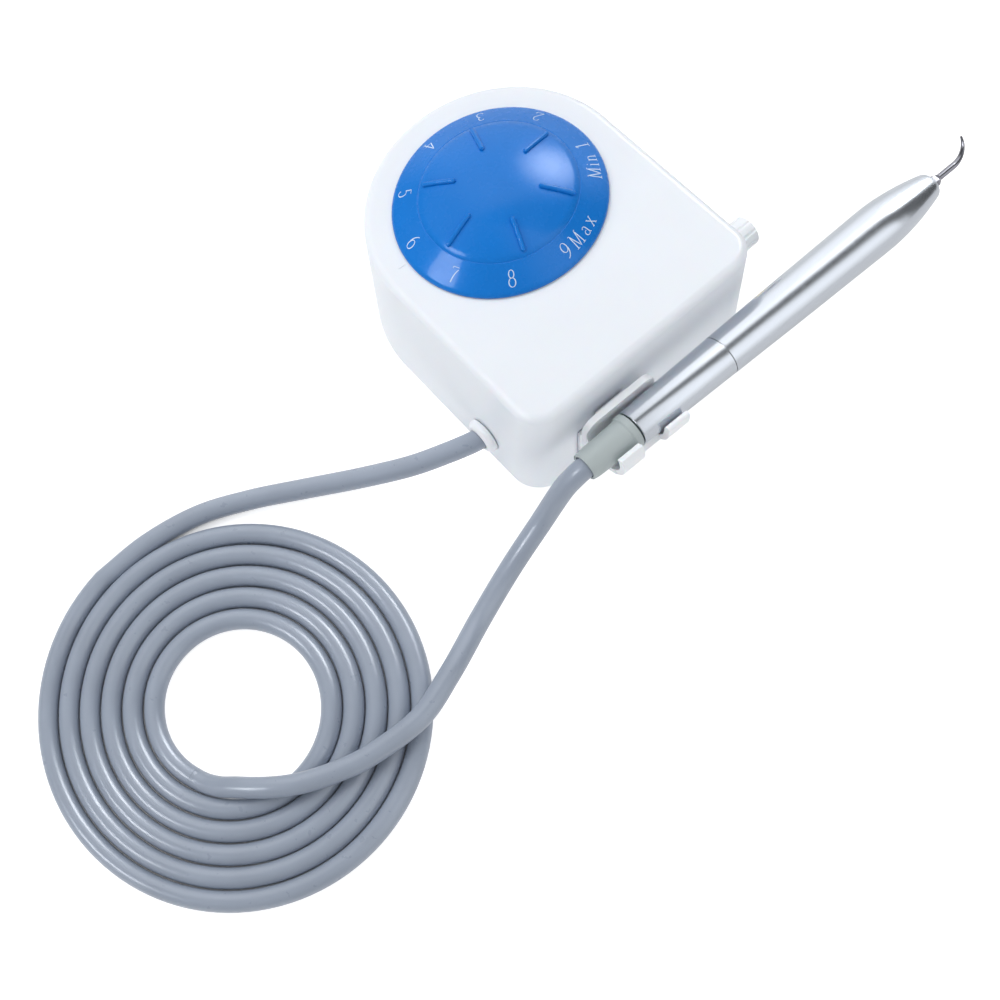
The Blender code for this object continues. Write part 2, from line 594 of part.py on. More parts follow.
def make_holder(mat, steel):
    """Seat plate, arm, upright back and two outer fingers, all one moulding."""
    seat = seat_outline(0.9, 8.0, 26.4)
    front = [(x - 5.7 if x > FLAT_X + 2.0 else x, z) for x, z in seat]
    holder = prism("handpiece_holder", front, HOLDER_Y0 + 2.0, HOLDER_Y1 - 1.8, mat, "Y")
    corner, back_x = 5.0, AXIS_X - CRADLE_R
    back = [(HOLDER_Y0, 28.0), (HOLDER_Y1, 28.0)]
    back += arc(HOLDER_Y1 - corner, HOLDER_BACK_TOP - corner, corner, 0.0, 90.0, 5)
    back += arc(HOLDER_Y0 + corner, HOLDER_BACK_TOP - corner, corner, 90.0, 180.0, 5)
    pieces = [
        prism("back", back, back_x - CRADLE_WALL, back_x, None, "X"),
        prism("arm", arm_outline(back_x - 1.0), HOLDER_Y0 + 7.7, HOLDER_Y1 - 7.7, None, "Y"),
        prism("trough", trough_outline(180.0, 0.0), HOLDER_Y0 + 0.2, HOLDER_Y1 - 0.9, None, "Y"),
        prism("finger_near", hook_outline(190.0, 395.0), HOLDER_Y0 + 0.4, HOLDER_Y0 + 8.6, None, "Y"),
        prism("finger_far", trough_outline(190.0, 3.4), HOLDER_Y1 - 9.4, HOLDER_Y1 - 1.2, None, "Y"),
    ]
    join(holder, pieces)
    wall = FLAT_X + wall_offset(HOLDER_SCREW_Z)
    screw = [(0.0, wall - 7.0), (1.1, wall - 6.4), (1.1, wall + 0.7), (2.0, wall + 0.7),
             (2.0, wall + 1.5), (1.4, wall + 2.0), (0.0, wall + 2.0)]
    holes = []
    for number, y in enumerate(holder_screw_spots(), 1):
        holes.append(rod(1.5, wall - 4.0, wall + 4.0, "X", (0.0, y, HOLDER_SCREW_Z), 12))
        revolve(f"holder_screw_{number}", screw, steel, "X", (0.0, y, HOLDER_SCREW_Z), 12)
    return cut(holder, holes)


# ------------------------------------------------------------------ handpiece


def turned(name, profile, mat, segments=28):
    """Piece turned around the handpiece's axis; heights are row-frame Y."""
    centre = (AXIS_X, 0.0, AXIS_Z)
    return revolve(name, profile, mat, "Y", centre, segments, pivot=centre)


def make_connector(sage, brass, rubber):
    cord_bore, cord_stop, plug_r, plug_end, groove_r = CORD_R + 0.35, -23.0, 4.3, -4.6, 3.4
    outside = [(cord_bore, SLEEVE_REAR_Y), (4.9, SLEEVE_REAR_Y), (5.4, SLEEVE_REAR_Y + 1.2), (5.6, -19.9),
               (6.25, -19.9), (6.25, REAR_Y - 0.4)]
    plug = [(plug_r, REAR_Y - 0.4), (plug_r, -12.8), (groove_r, -12.8), (groove_r, -11.2), (plug_r, -11.2),
            (plug_r, plug_end), (0.0, plug_end)]
    body = turned("connector_sleeve", outside + plug + [(0.0, cord_stop), (cord_bore, cord_stop)], sage, 28)
    spots = [(AXIS_X + side * 2.0, 0.0, AXIS_Z) for side in (-1.0, 1.0)]
    cut(body, [rod(0.85, -9.0, 0.0, "Y", spot, 8) for spot in spots])
    for number, spot in enumerate(spots, 1):
        pin = [(0.0, -8.6), (0.55, -8.6), (0.55, 2.0), (0.0, 2.4)]
        revolve(f"contact_pin_{number}", pin, brass, "Y", spot, 8, pivot=spot)
    ring = [(4.2 + 0.45 * math.cos(a), -12.0 + 0.45 * math.sin(a)) for a in ring_angles(8)]
    turned("connector_oring", ring, rubber, 20)


def ring_angles(count):
    return [2.0 * math.pi * i / count for i in range(count)]


def make_barrels(silver):
    rear = [(5.1, REAR_Y), (6.1, REAR_Y), (6.38, REAR_Y + 0.4), (6.8, -1.5), (7.13, JOINT_Y - 0.3),
            (6.2, JOINT_Y - 0.3), (6.2, JOINT_Y + 5.5), (5.1, JOINT_Y + 5.5)]
    turned("rear_barrel", rear, silver, 32)
    grip = [(6.5, JOINT_Y), (7.15, JOINT_Y), (7.35, 30.0), (7.6, 45.0), (7.85, 68.0), (7.95, 79.0)]
    nose = [(7.68, 84.0), (7.17, 88.0), (6.43, 92.0), (5.46, 96.0), (4.4, 99.3), (3.4, NOSE_Y)]
    bore = [(2.6, NOSE_Y), (2.6, 97.0), (3.4, 94.6), (6.5, 79.0)]
    turned("front_barrel", grip + nose + bore, silver, 32)


def make_transducer(silver, steel, ceramic, copper, titanium, rubber, black, tube_mat):
    """Stack of the back mass, piezo rings and electrodes that the preload bolt clamps to the horn."""
    bore = 1.9
    spots = [(AXIS_X + side * 2.0, 0.0, AXIS_Z) for side in (-1.0, 1.0)]
    socket = turned("contact_socket", [(0.0, 0.4), (4.8, 0.4), (4.8, 8.0), (0.0, 8.0)], black, 20)
    cut(socket, [rod(0.95, -1.0, 4.0, "Y", spot, 8) for spot in spots])
    turned("handpiece_water_tube", [(0.0, 8.4), (1.1, 8.4), (1.1, 26.0), (0.0, 26.0)], tube_mat, 10)
    bolt = [(0.0, 26.4), (3.2, 26.4), (3.2, 29.7), (1.5, 29.7), (1.5, 58.0), (0.0, 58.0)]
    turned("preload_bolt", bolt, steel, 16)
    stack = [("back_mass", 30.0, 41.6, 5.0, steel), ("electrode_rear", 41.9, 42.3, 5.2, copper),
             ("piezo_ring_rear", 42.6, 46.6, 5.0, ceramic), ("electrode_front", 46.9, 47.3, 5.2, copper),
             ("piezo_ring_front", 47.6, 51.6, 5.0, ceramic)]
    for name, low, high, radius, mat in stack:
        turned(name, [(bore, low), (radius, low), (radius, high), (bore, high)], mat, 20)
    horn = [(bore, 51.9), (5.0, 51.9), (5.0, 60.0), (6.0, 60.0), (6.0, 62.2), (4.7, 62.2), (4.7, 66.0),
            (3.0, 76.0), (2.2, 82.0), (2.2, 98.8), (1.15, 98.8), (1.15, 92.8), (0.0, 92.8), (0.0, 59.0),
            (bore, 59.0)]
    turned("horn", horn, titanium, 20)
    ring = [(5.6 + 0.5 * math.cos(a), 63.4 + 0.5 * math.sin(a)) for a in ring_angles(8)]
    turned("nodal_oring", ring, rubber, 20)


def tip_sections():
    """Centre line of the tip and its radius there: shank, collar, neck, then a tapering curve."""
    thread, collar = [(93.4, 0.8), (99.15, 0.8)], [(99.2, 1.9), (102.4, 1.95)]
    straight = thread + collar + [(103.8, NECK_R), (TIP_ARC_START, NECK_R)]
    path = [Vector((AXIS_X, y, AXIS_Z)) for y, _ in straight]
    radii = [radius for _, radius in straight]
    roll = math.radians(TIP_ROLL)
    bend = Vector((-math.cos(roll), 0.0, math.sin(roll)))
    steps = 10
    for i in range(1, steps + 1):
        turn = math.radians(TIP_ARC_ANGLE) * i / steps
        along = Vector((0.0, TIP_ARC_R * math.sin(turn), 0.0))
        path.append(path[len(straight) - 1] + along + bend * (TIP_ARC_R * (1.0 - math.cos(turn))))
        radii.append(NECK_R + (TIP_END_R - NECK_R) * (i / steps) ** 1.6)
    return path, radii


def make_tip(mat):
    path, radii = tip_sections()
    return sweep("scaler_tip", path, radii, mat, sides=10, pivot=(AXIS_X, 0.0, AXIS_Z))


# ------------------------------------------------------------------ assembly


def centre_footprint():
    """Hang every piece on one empty, so that the scene's origin is the middle of the footprint."""
    anchor = bpy.data.objects.new("footprint_anchor", None)
    bpy.context.scene.collection.objects.link(anchor)
    anchor.location = (-FOOTPRINT_MIDDLE[0] * MM, -FOOTPRINT_MIDDLE[1] * MM, 0.0)
    for obj in bpy.context.scene.objects:
        if obj.type == "MESH":
            obj.parent = anchor


def main():
    for obj in list(bpy.data.objects):
        bpy.data.objects.remove(obj, do_unlink=True)
    white = plastic("white_abs", (0.86, 0.88, 0.91), 0.32)
    soft_white = plastic("white_nylon", (0.84, 0.86, 0.88), 0.4)
    blue = plastic("dial_blue", (0.035, 0.21, 0.65), 0.22)
    sage = plastic("sage_plastic", (0.50, 0.56, 0.56), 0.45)
    cord = plastic("silicone_grey", (0.36, 0.40, 0.46), 0.35)
    rubber = plastic("black_rubber", (0.03, 0.03, 0.03), 0.8)
    black = plastic("black_plastic", (0.04, 0.04, 0.045), 0.5)
    clear_tube = plastic("tube_polyurethane", (0.55, 0.70, 0.80), 0.3)
    board = plastic("circuit_board", (0.03, 0.22, 0.10), 0.5)
    ceramic = plastic("piezo_ceramic", (0.55, 0.50, 0.36), 0.6)
    silver = metal("satin_aluminium", (0.76, 0.77, 0.80), 0.3)
    steel = metal("steel", (0.62, 0.62, 0.64), 0.28)
    brass = metal("brass", (0.72, 0.55, 0.26), 0.3)
    copper = metal("copper", (0.75, 0.40, 0.24), 0.35)
    titanium = metal("titanium", (0.52, 0.50, 0.48), 0.35)

    make_housing(white)
    make_base_plate(white)
    make_feet_and_screws(rubber, steel)
    make_dial(blue)
    make_potentiometer(black, steel)
    make_board(board)
    make_transformer(steel, copper)
    make_heatsink(silver)
    make_board_parts(black, blue)
    make_solenoid_valve(brass, black, steel)
    make_water_valve(brass, steel, soft_white)
    make_panel_fittings(brass, black)
    make_inner_lines(clear_tube, copper)
    make_cord(cord)
    make_outlet(soft_white, rubber)
    make_holder(soft_white, steel)
    make_connector(sage, brass, rubber)
    make_barrels(silver)
    make_transducer(silver, steel, ceramic, copper, titanium, rubber, black, clear_tube)
    make_tip(steel)
    centre_footprint()


main()
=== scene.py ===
"""Looks of a bench-top ultrasonic scaler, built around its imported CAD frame.

Lengths are millimetres in the CAD's own directions, measured from the dial's axis on the table:
+X towards the handpiece's holder, +Y the way the tip points, +Z up. A mesh goes to metres, and
to its place in the row frame, in finish_mesh(). The constants' angles are degrees.
"""
import json
import math

import bmesh
import bpy
from mathutils import Matrix, Vector


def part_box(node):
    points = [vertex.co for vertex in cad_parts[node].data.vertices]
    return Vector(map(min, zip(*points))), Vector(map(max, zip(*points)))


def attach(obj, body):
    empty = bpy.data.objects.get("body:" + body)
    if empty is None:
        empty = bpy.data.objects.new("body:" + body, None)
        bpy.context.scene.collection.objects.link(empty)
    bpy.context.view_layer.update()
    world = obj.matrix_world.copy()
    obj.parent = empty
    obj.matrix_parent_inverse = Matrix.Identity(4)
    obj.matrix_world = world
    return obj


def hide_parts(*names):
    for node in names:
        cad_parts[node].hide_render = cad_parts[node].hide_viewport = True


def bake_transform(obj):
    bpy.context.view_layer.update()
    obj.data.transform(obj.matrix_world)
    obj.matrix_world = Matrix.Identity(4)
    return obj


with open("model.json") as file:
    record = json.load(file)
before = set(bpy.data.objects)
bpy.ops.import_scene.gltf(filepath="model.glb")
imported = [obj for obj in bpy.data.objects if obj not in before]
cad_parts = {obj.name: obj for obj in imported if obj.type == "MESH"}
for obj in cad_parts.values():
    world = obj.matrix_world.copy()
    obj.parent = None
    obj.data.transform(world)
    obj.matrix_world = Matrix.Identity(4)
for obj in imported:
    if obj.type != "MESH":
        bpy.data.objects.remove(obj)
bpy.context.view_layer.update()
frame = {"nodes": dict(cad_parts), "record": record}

MM = 0.001
DIAL_LOW, DIAL_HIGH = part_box("power_dial")
DIAL_FOOT = Vector(((DIAL_LOW.x + DIAL_HIGH.x) / 2, (DIAL_LOW.y + DIAL_HIGH.y) / 2, 0.0))


def span(node):
    """Lowest and highest corner of a CAD node in this script's millimetres."""
    low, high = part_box(node)
    return (low - DIAL_FOOT) / MM, (high - DIAL_FOOT) / MM


def middle(node):
    low, high = span(node)
    return (low + high) / 2


SHELL_LOW, SHELL_HIGH = span("housing_shell")
DRAFT = 0.035
BASE_FLARE = DRAFT * (SHELL_HIGH.z - SHELL_LOW.z)
HALF_WIDTH = SHELL_HIGH.y - BASE_FLARE
FLAT_X = SHELL_HIGH.x - BASE_FLARE
CORNER_R = 9.3
TOP_FILLET = 3.0
WALL = 2.4
HOLE_RADII = {"water_knob": 3.1, "water_inlet": 3.3, "footswitch_socket": 5.6, "power_socket": 4.6,
              "cable_grommet": 5.2}

DIAL_R = (DIAL_HIGH.x - DIAL_LOW.x) / 2 / MM
DIAL_UNDER = DIAL_LOW.z / MM
DOME_R = 25.4
DOME_TOP = span("power_dial")[1].z
DOME_RISE = 5.9
DOME_FOOT = DOME_TOP - DOME_RISE
BAND_EDGE_R = 33.6
BAND_MIDDLE_R = 30.1
RIB_COUNT = 6
FIRST_RIB = 159.5

GRIP = middle("front_barrel")
REAR_Y = span("rear_barrel")[0].y
JOINT_Y = span("front_barrel")[0].y
NOSE_Y = span("front_barrel")[1].y
CRADLE_R = 7.4
CRADLE_WALL = 2.2
SEAT_LOW, SEAT_HIGH = 8.0, 26.4

CORD_R = 3.75
CORD_Z = 3.8
COIL_X, COIL_Y = 59.6, -172.5
COIL_DRIFT_X, COIL_DRIFT_Y = 0.9, 0.6
COIL_OUTER_R, COIL_INNER_R = 70.8, 28.8
COIL_START, COIL_END = 187.0, 2090.0

SHARP_EDGE = 35.0
SHARP_TURNED_EDGE = 32.0


# ------------------------------------ mesh helpers


def finish_mesh(name, bm, look, body, stands_for=(), sharp=SHARP_EDGE):
    """Turn a bmesh in millimetres into a smooth-shaded piece that rides on a CAD body.

    A cutter has neither a look nor a body; stands_for names the CAD nodes that the piece replaces."""
    bmesh.ops.recalc_face_normals(bm, faces=bm.faces)
    for vert in bm.verts:
        vert.co = vert.co * MM + DIAL_FOOT
    mesh = bpy.data.meshes.new(name)
    bm.to_mesh(mesh)
    bm.free()
    shade(mesh, sharp)
    obj = bpy.data.objects.new(name, mesh)
    bpy.context.scene.collection.objects.link(obj)
    if look is not None:
        mesh.materials.append(look)
    if body is not None:
        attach(obj, body)
    if stands_for:
        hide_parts(*stands_for)
    return obj


def shade(mesh, sharp=SHARP_EDGE):
    mesh.shade_smooth()
    mesh.set_sharp_from_angle(angle=math.radians(sharp))


def arc(cx, cy, radius, start, end, steps):
    """Points of a circular arc, angles in degrees, both ends included."""
    angles = [math.radians(start + (end - start) * i / steps) for i in range(steps + 1)]
    return [(cx + radius * math.cos(a), cy + radius * math.sin(a)) for a in angles]


def curve_through(points, steps):
    """Catmull-Rom curve through points, with the same number of steps between each two."""
    knots = [Vector(p) for p in points]
    knots = [2.0 * knots[0] - knots[1]] + knots + [2.0 * knots[-1] - knots[-2]]
    path = []
    for a, b, c, d in zip(knots, knots[1:], knots[2:], knots[3:]):
        for i in range(steps):
            t = i / steps
            path.append(0.5 * (2.0 * b + (c - a) * t + (2.0 * a - 5.0 * b + 4.0 * c - d) * t * t
                               + (3.0 * b - a - 3.0 * c + d) * t ** 3))
    path.append(knots[-2])
    return path


def rounded(profile, corners):
    """Replace chosen corners of a closed (radius, height) loop by curves of the given size."""
    out = []
    steps = 5
    count = len(profile)
    for i, point in enumerate(profile):
        size = corners.get(i, 0.0)
        if size == 0.0:
            out.append(tuple(point))
            continue
        here = Vector(point)
        before = (Vector(profile[i - 1]) - here).normalized() * size
        after = (Vector(profile[(i + 1) % count]) - here).normalized() * size
        for k in range(steps + 1):
            t = k / steps
            out.append(tuple(here + before * (1 - t) ** 2 + after * t ** 2))
    return out


def lathe_mesh(profile, axis, centre, segments):
    """Surface of a closed loop of (radius, height) corners; a corner on the axis is a single point."""
    bm = bmesh.new()
    rings = []
    for radius, height in profile:
        ring = []
        for i in range(1 if radius == 0.0 else segments):
            angle = 2.0 * math.pi * i / segments
            u, v = radius * math.cos(angle), radius * math.sin(angle)
            local = {"Z": (u, v, height), "Y": (u, height, v)}[axis]
            ring.append(bm.verts.new(Vector(centre) + Vector(local)))
        rings.append(ring)
    for low, high in zip(rings, rings[1:] + rings[:1]):
        if len(low) == 1 and len(high) == 1:
            continue
        for i in range(segments):
            j = (i + 1) % segments
            corners = [low[i % len(low)], low[j % len(low)],
                       high[j % len(high)], high[i % len(high)]]
            bm.faces.new(list(dict.fromkeys(corners)))
    return bm


def lathe(name, profile, look, body, stands_for, axis, centre, segments):
    """Turn a closed loop of (radius, height) corners around an axis."""
    bm = lathe_mesh(profile, axis, centre, segments)
    return finish_mesh(name, bm, look, body, stands_for, SHARP_TURNED_EDGE)


def rod(radius, low, high, axis="Z", centre=(0.0, 0.0, 0.0), segments=64):
    """Plain cylinder, used as a cutter."""
    profile = [(0.0, low), (radius, low), (radius, high), (0.0, high)]
    return finish_mesh("cutter", lathe_mesh(profile, axis, centre, segments), None, None)


def bridge(bm, ring_a, ring_b):
    """Join two rings of as many corners with a band of four-sided faces."""
    count = len(ring_a)
    for i in range(count):
        j = (i + 1) % count
        bm.faces.new((ring_a[i], ring_a[j], ring_b[j], ring_b[i]))


def prism(outline, low, high, axis):
    """Extrude an outline along an axis; its two coordinates are the other two, in X, Y, Z order."""
    bm = bmesh.new()
    rings = []
    for level in (low, high):
        rings.append([
            bm.verts.new({"Z": (u, v, level), "Y": (u, level, v), "X": (level, u, v)}[axis])
            for u, v in outline
        ])
    bm.faces.new(rings[0])
    bm.faces.new(rings[1])
    bridge(bm, rings[0], rings[1])
    return finish_mesh("cutter", bm, None, None)


def sweep_mesh(path, sections, sides):
    """Bar along a path; each section is its two half-widths, across and up from the path."""
    bm = bmesh.new()
    ahead = (path[1] - path[0]).normalized()
    side = ahead.orthogonal().normalized()
    rings = []
    for i, point in enumerate(path):
        before, after = path[max(i - 1, 0)], path[min(i + 1, len(path) - 1)]
        ahead = (after - before).normalized()
        side = (side - ahead * side.dot(ahead)).normalized()
        up = ahead.cross(side)
        wide, thick = sections[i]
        rings.append([
            bm.verts.new(point + wide * math.cos(a) * side + thick * math.sin(a) * up)
            for a in (2.0 * math.pi * (k + 0.5) / sides for k in range(sides))
        ])
    for ring_a, ring_b in zip(rings, rings[1:]):
        bridge(bm, ring_a, ring_b)
    bm.faces.new(rings[0])
    bm.faces.new(rings[-1])
    return bm


def combine(target, tools, operation):
    """Apply one Boolean for each tool and remove the tool."""
    for tool in tools:
        modifier = target.modifiers.new("combine", "BOOLEAN")
        modifier.operation = operation
        modifier.solver = "EXACT"
        modifier.object = tool
        bpy.context.view_layer.update()
        with bpy.context.temp_override(object=target, active_object=target):
            bpy.ops.object.modifier_apply(modifier=modifier.name)
        bpy.data.objects.remove(tool, do_unlink=True)
    shade(target.data)
    return target


def soften(obj, width):
    """Round a piece's edges with a bevel and keep its flat faces flat."""
    bevel = obj.modifiers.new("soft_edges", "BEVEL")
    bevel.width = width * MM
    bevel.segments = 3
    bevel.limit_method = "ANGLE"
    bevel.angle_limit = math.radians(30.0)
    return flat_faces(obj)


def flat_faces(obj):
    weights = obj.modifiers.new("flat_faces", "WEIGHTED_NORMAL")
    weights.keep_sharp = True
    return obj


# ------------------------------------ node helpers


class Graph:
    """Short forms for building a shader's node tree; an input is a number, a colour or a socket."""

    def __init__(self, tree):
        self.tree = tree

    def node(self, kind, inputs=None, **settings):
        made = self.tree.nodes.new(kind)
        for key, value in settings.items():
            setattr(made, key, value)
        for key, value in (inputs or {}).items():
            self.feed(made.inputs[key], value)
        return made

    def feed(self, socket, value):
        if isinstance(value, bpy.types.NodeSocket):
            self.tree.links.new(value, socket)
        elif isinstance(value, tuple) and len(value) == 3 and socket.type == "RGBA":
            socket.default_value = (*value, 1.0)
        else:
            socket.default_value = value

    def math(self, operation, a, b=0.0):
        return self.node("ShaderNodeMath", {0: a, 1: b}, operation=operation).outputs[0]

    def either(self, switch, on, off):
        """One value where the switch is 1 and another where it is 0."""
        return self.math("ADD", self.math("MULTIPLY", switch, on),
                         self.math("MULTIPLY", self.math("SUBTRACT", 1.0, switch), off))

    def noise(self, vector, cell, detail=2.0, roughness=0.5):
        """Noise whose cells are about this many millimetres across."""
        scale = 1.0 / (cell * MM)
        inputs = {"Vector": vector, "Scale": scale, "Detail": detail, "Roughness": roughness}
        return self.node("ShaderNodeTexNoise", inputs).outputs["Fac"]

    def spread(self, value, low, high, start=0.25, end=0.75):
        """Stretch a value from start..end to low..high."""
        inputs = {"Value": value, "From Min": start, "From Max": end, "To Min": low, "To Max": high}
        return self.node("ShaderNodeMapRange", inputs).outputs["Result"]

    def mix(self, factor, a, b):
        made = self.node("ShaderNodeMix", data_type="RGBA")
        self.feed(made.inputs["Factor"], factor)
        self.feed(made.inputs["A"], a)
        self.feed(made.inputs["B"], b)
        return made.outputs["Result"]


def scaled(colour, amount):
    return tuple(min(1.0, c * amount) for c in colour)


def surface(name, colour, roughness, grain, depth, tint, rough_spread=0.05, **principled):
    """Principled material with broad tint changes, uneven roughness and a fine grain.

    grain is the size of its bumps and depth their height, both in millimetres; tint is the share by
    which the colour varies, and rough_spread how far the roughness does."""
    tint_cell, rough_cell = 18.0, 3.0
    mat = bpy.data.materials.new(name)
    mat.use_nodes = True
    graph = Graph(mat.node_tree)
    shader = mat.node_tree.nodes["Principled BSDF"]
    place = graph.node("ShaderNodeTexCoord").outputs["Object"]
    broad = graph.spread(graph.noise(place, tint_cell), 0.0, 1.0)
    base = graph.mix(broad, scaled(colour, 1.0 - tint), scaled(colour, 1.0 + tint))
    graph.feed(shader.inputs["Base Color"], base)
    patches = graph.noise(place, rough_cell, detail=4.0)
    uneven = graph.spread(patches, roughness - rough_spread, roughness + rough_spread)
    graph.feed(shader.inputs["Roughness"], uneven)
    fine = graph.noise(place, grain, detail=3.0, roughness=0.6)
    bump = graph.node("ShaderNodeBump", {"Strength": 1.0, "Distance": depth * MM, "Height": fine})
    graph.feed(shader.inputs["Normal"], bump.outputs["Normal"])
    for key, value in principled.items():
        graph.feed(shader.inputs[key.replace("_", " ")], value)
    return mat


# ------------------------------------ materials


def white_shell_look():
    """Glossy moulded plastic; light spreads a little under its skin."""
    return surface("white_abs", (0.80, 0.835, 0.885), roughness=0.34, grain=0.35, depth=0.004, tint=0.008,
                   rough_spread=0.02, Subsurface_Weight=0.12, Subsurface_Scale=0.0008)


def white_trim_look():
    return surface("white_nylon", (0.86, 0.885, 0.915), roughness=0.42, grain=0.3, depth=0.006, tint=0.015,
                   Subsurface_Weight=0.15, Subsurface_Scale=0.0008)


def dial_look():
    return surface("dial_blue", (0.004, 0.172, 0.60), roughness=0.27, grain=0.45, depth=0.003, tint=0.03,
                   rough_spread=0.02, Specular_IOR_Level=0.22, Coat_Weight=0.2, Coat_Roughness=0.06)


def numbers_look():
    return surface("printed_white", (0.62, 0.72, 0.87), roughness=0.45, grain=0.12, depth=0.004, tint=0.05)


def cord_look():
    """Silicone with a soft sheen and a very fine, slightly uneven skin."""
    return surface("silicone_grey", (0.295, 0.337, 0.412), roughness=0.31, grain=0.6, depth=0.005, tint=0.05,
                   Coat_Weight=0.5, Coat_Roughness=0.2)


def sage_look():
    return surface("sage_plastic", (0.41, 0.46, 0.465), roughness=0.42, grain=0.25, depth=0.006, tint=0.04)


def satin_look():
    """Bead-blasted and anodised metal: a fine sparkle of tiny facets."""
    return surface("satin_metal", (0.60, 0.63, 0.68), roughness=0.22, grain=0.5, depth=0.016, tint=0.01,
                   rough_spread=0.01, Metallic=1.0)


def steel_look():
    return surface("polished_steel", (0.27, 0.27, 0.30), roughness=0.16, grain=0.2, depth=0.001, tint=0.05,
                   rough_spread=0.02, Metallic=1.0)


def rubber_look():
    return surface("black_rubber", (0.03, 0.03, 0.032), roughness=0.7, grain=0.25, depth=0.02, tint=0.15)


def dark_plastic_look():
    return surface("black_plastic", (0.035, 0.036, 0.04), roughness=0.45, grain=0.2, depth=0.01, tint=0.1)


def brass_look():
    return surface("brass", (0.75, 0.57, 0.27), roughness=0.26, grain=0.12, depth=0.002, tint=0.08,
                   Metallic=1.0)


def copper_look():
    return surface("copper", (0.78, 0.40, 0.25), roughness=0.3, grain=0.2, depth=0.01, tint=0.12,
                   Metallic=1.0)


def titanium_look():
    return surface("titanium", (0.50, 0.48, 0.46), roughness=0.3, grain=0.1, depth=0.002, tint=0.06,
                   Metallic=1.0)


def ceramic_look():
    return surface("piezo_ceramic", (0.55, 0.50, 0.36), roughness=0.55, grain=0.1, depth=0.004, tint=0.06)


def tube_look():
    return surface("water_tube", (0.55, 0.72, 0.85), roughness=0.2, grain=1.0, depth=0.004, tint=0.05,
                   Transmission_Weight=0.5)


def board_look():
    """Green solder mask with lighter tracks round blocks of it."""
    mask, darker_mask, track = (0.02, 0.16, 0.06), (0.02, 0.14, 0.06), (0.10, 0.36, 0.14)
    block, track_width = 4.0, 0.06
    mat = surface("circuit_board", mask, roughness=0.35, grain=0.2, depth=0.004, tint=0.1)
    graph = Graph(mat.node_tree)
    shader = mat.node_tree.nodes["Principled BSDF"]
    place = graph.node("ShaderNodeTexCoord").outputs["Object"]
    inputs = {"Vector": place, "Scale": 1.0 / (block * MM), "Mortar Size": track_width,
              "Color1": mask, "Color2": darker_mask, "Mortar": track}
    tracks = graph.node("ShaderNodeTexBrick", inputs)
    graph.feed(shader.inputs["Base Color"], tracks.outputs["Color"])
    return mat


def make_looks():
    """One material for each of the record's material slots."""
    return {
        "white_shell": white_shell_look(),
        "white_trim": white_trim_look(),
        "dial_blue": dial_look(),
        "sage_plastic": sage_look(),
        "cord_silicone": cord_look(),
        "black_rubber": rubber_look(),
        "black_plastic": dark_plastic_look(),
        "water_tube": tube_look(),
        "circuit_board": board_look(),
        "piezo_ceramic": ceramic_look(),
        "satin_metal": satin_look(),
        "steel": steel_look(),
        "brass": brass_look(),
        "copper": copper_look(),
        "titanium": titanium_look(),
    }


def dress_cad_nodes(looks):
    """Give every CAD node the material of its slot in the record."""
    for part in frame["record"]["subparts"]:
        mesh = frame["nodes"][part["node"]].data
        mesh.materials.clear()
        mesh.materials.append(looks[part["material_slot"]])


# ------------------------------------ housing


def flare(z):
    """How far the outer wall stands outside the plan outline at the top."""
    return DRAFT * (SHELL_HIGH.z - z)


def d_outline(offset, arc_steps=96, corner_steps=14):
    """Plan of the housing, grown by an offset: a half circle round the dial and a flat end."""
    half, flat, corner = HALF_WIDTH + offset, FLAT_X + offset, CORNER_R + offset
    points = arc(0.0, 0.0, half, 90.0, 270.0, arc_steps)
    points += arc(flat - corner, corner - half, corner, -90.0, 0.0, corner_steps)
    points += arc(flat - corner, half - corner, corner, 0.0, 90.0, corner_steps)
    return points


def shell_levels():
    """Offset and height of each ring, up the outside and down the inside."""
    low, high, lip, steps = SHELL_LOW.z, SHELL_HIGH.z, 0.4, 10
    soft = lip * 0.3
    edge = high - TOP_FILLET
    levels = [(flare(low) - lip, low), (flare(low) - soft, low + soft), (flare(low + lip), low + lip)]
    for i in range(steps + 1):
        angle = math.radians(90.0 * i / steps)
        inwards, upwards = TOP_FILLET * (1.0 - math.cos(angle)), TOP_FILLET * math.sin(angle)
        levels.append((flare(edge) - inwards, edge + upwards))
    levels.append((flare(high - WALL) - WALL, high - WALL))
    levels.append((flare(low) - WALL, low))
    return levels


def seat_recess():
    """Cutter for the shallow step in the flat end wall that the holder's seat sits in."""
    z_low, z_high, depth, reach, behind, ahead = 5.0, 30.6, 1.2, 6.0, 0.1, 0.3
    low_x, high_x = FLAT_X + flare(z_low), FLAT_X + flare(z_high)
    outline = [(low_x - depth, z_low), (low_x + reach, z_low),
               (high_x + reach, z_high), (high_x - depth, z_high)]
    low, high = span("handpiece_holder")
    return prism(outline, low.y - behind, high.y + ahead, "Y")


def shaft_hole():
    """Cutter for the potentiometer's neck, through the roof."""
    radius, reach = 4.3, 8.0
    return rod(radius, SHELL_HIGH.z - reach, SHELL_HIGH.z + reach)


def panel_hole(node, radius):
    """Cutter through a side wall at a fitting's centre."""
    at = middle(node)
    reach = 8.0
    side = 1.0 if at.y > 0.0 else -1.0
    low, high = sorted((side * (HALF_WIDTH - reach), side * (HALF_WIDTH + reach)))
    return rod(radius, low, high, "Y", (at.x, 0.0, at.z))


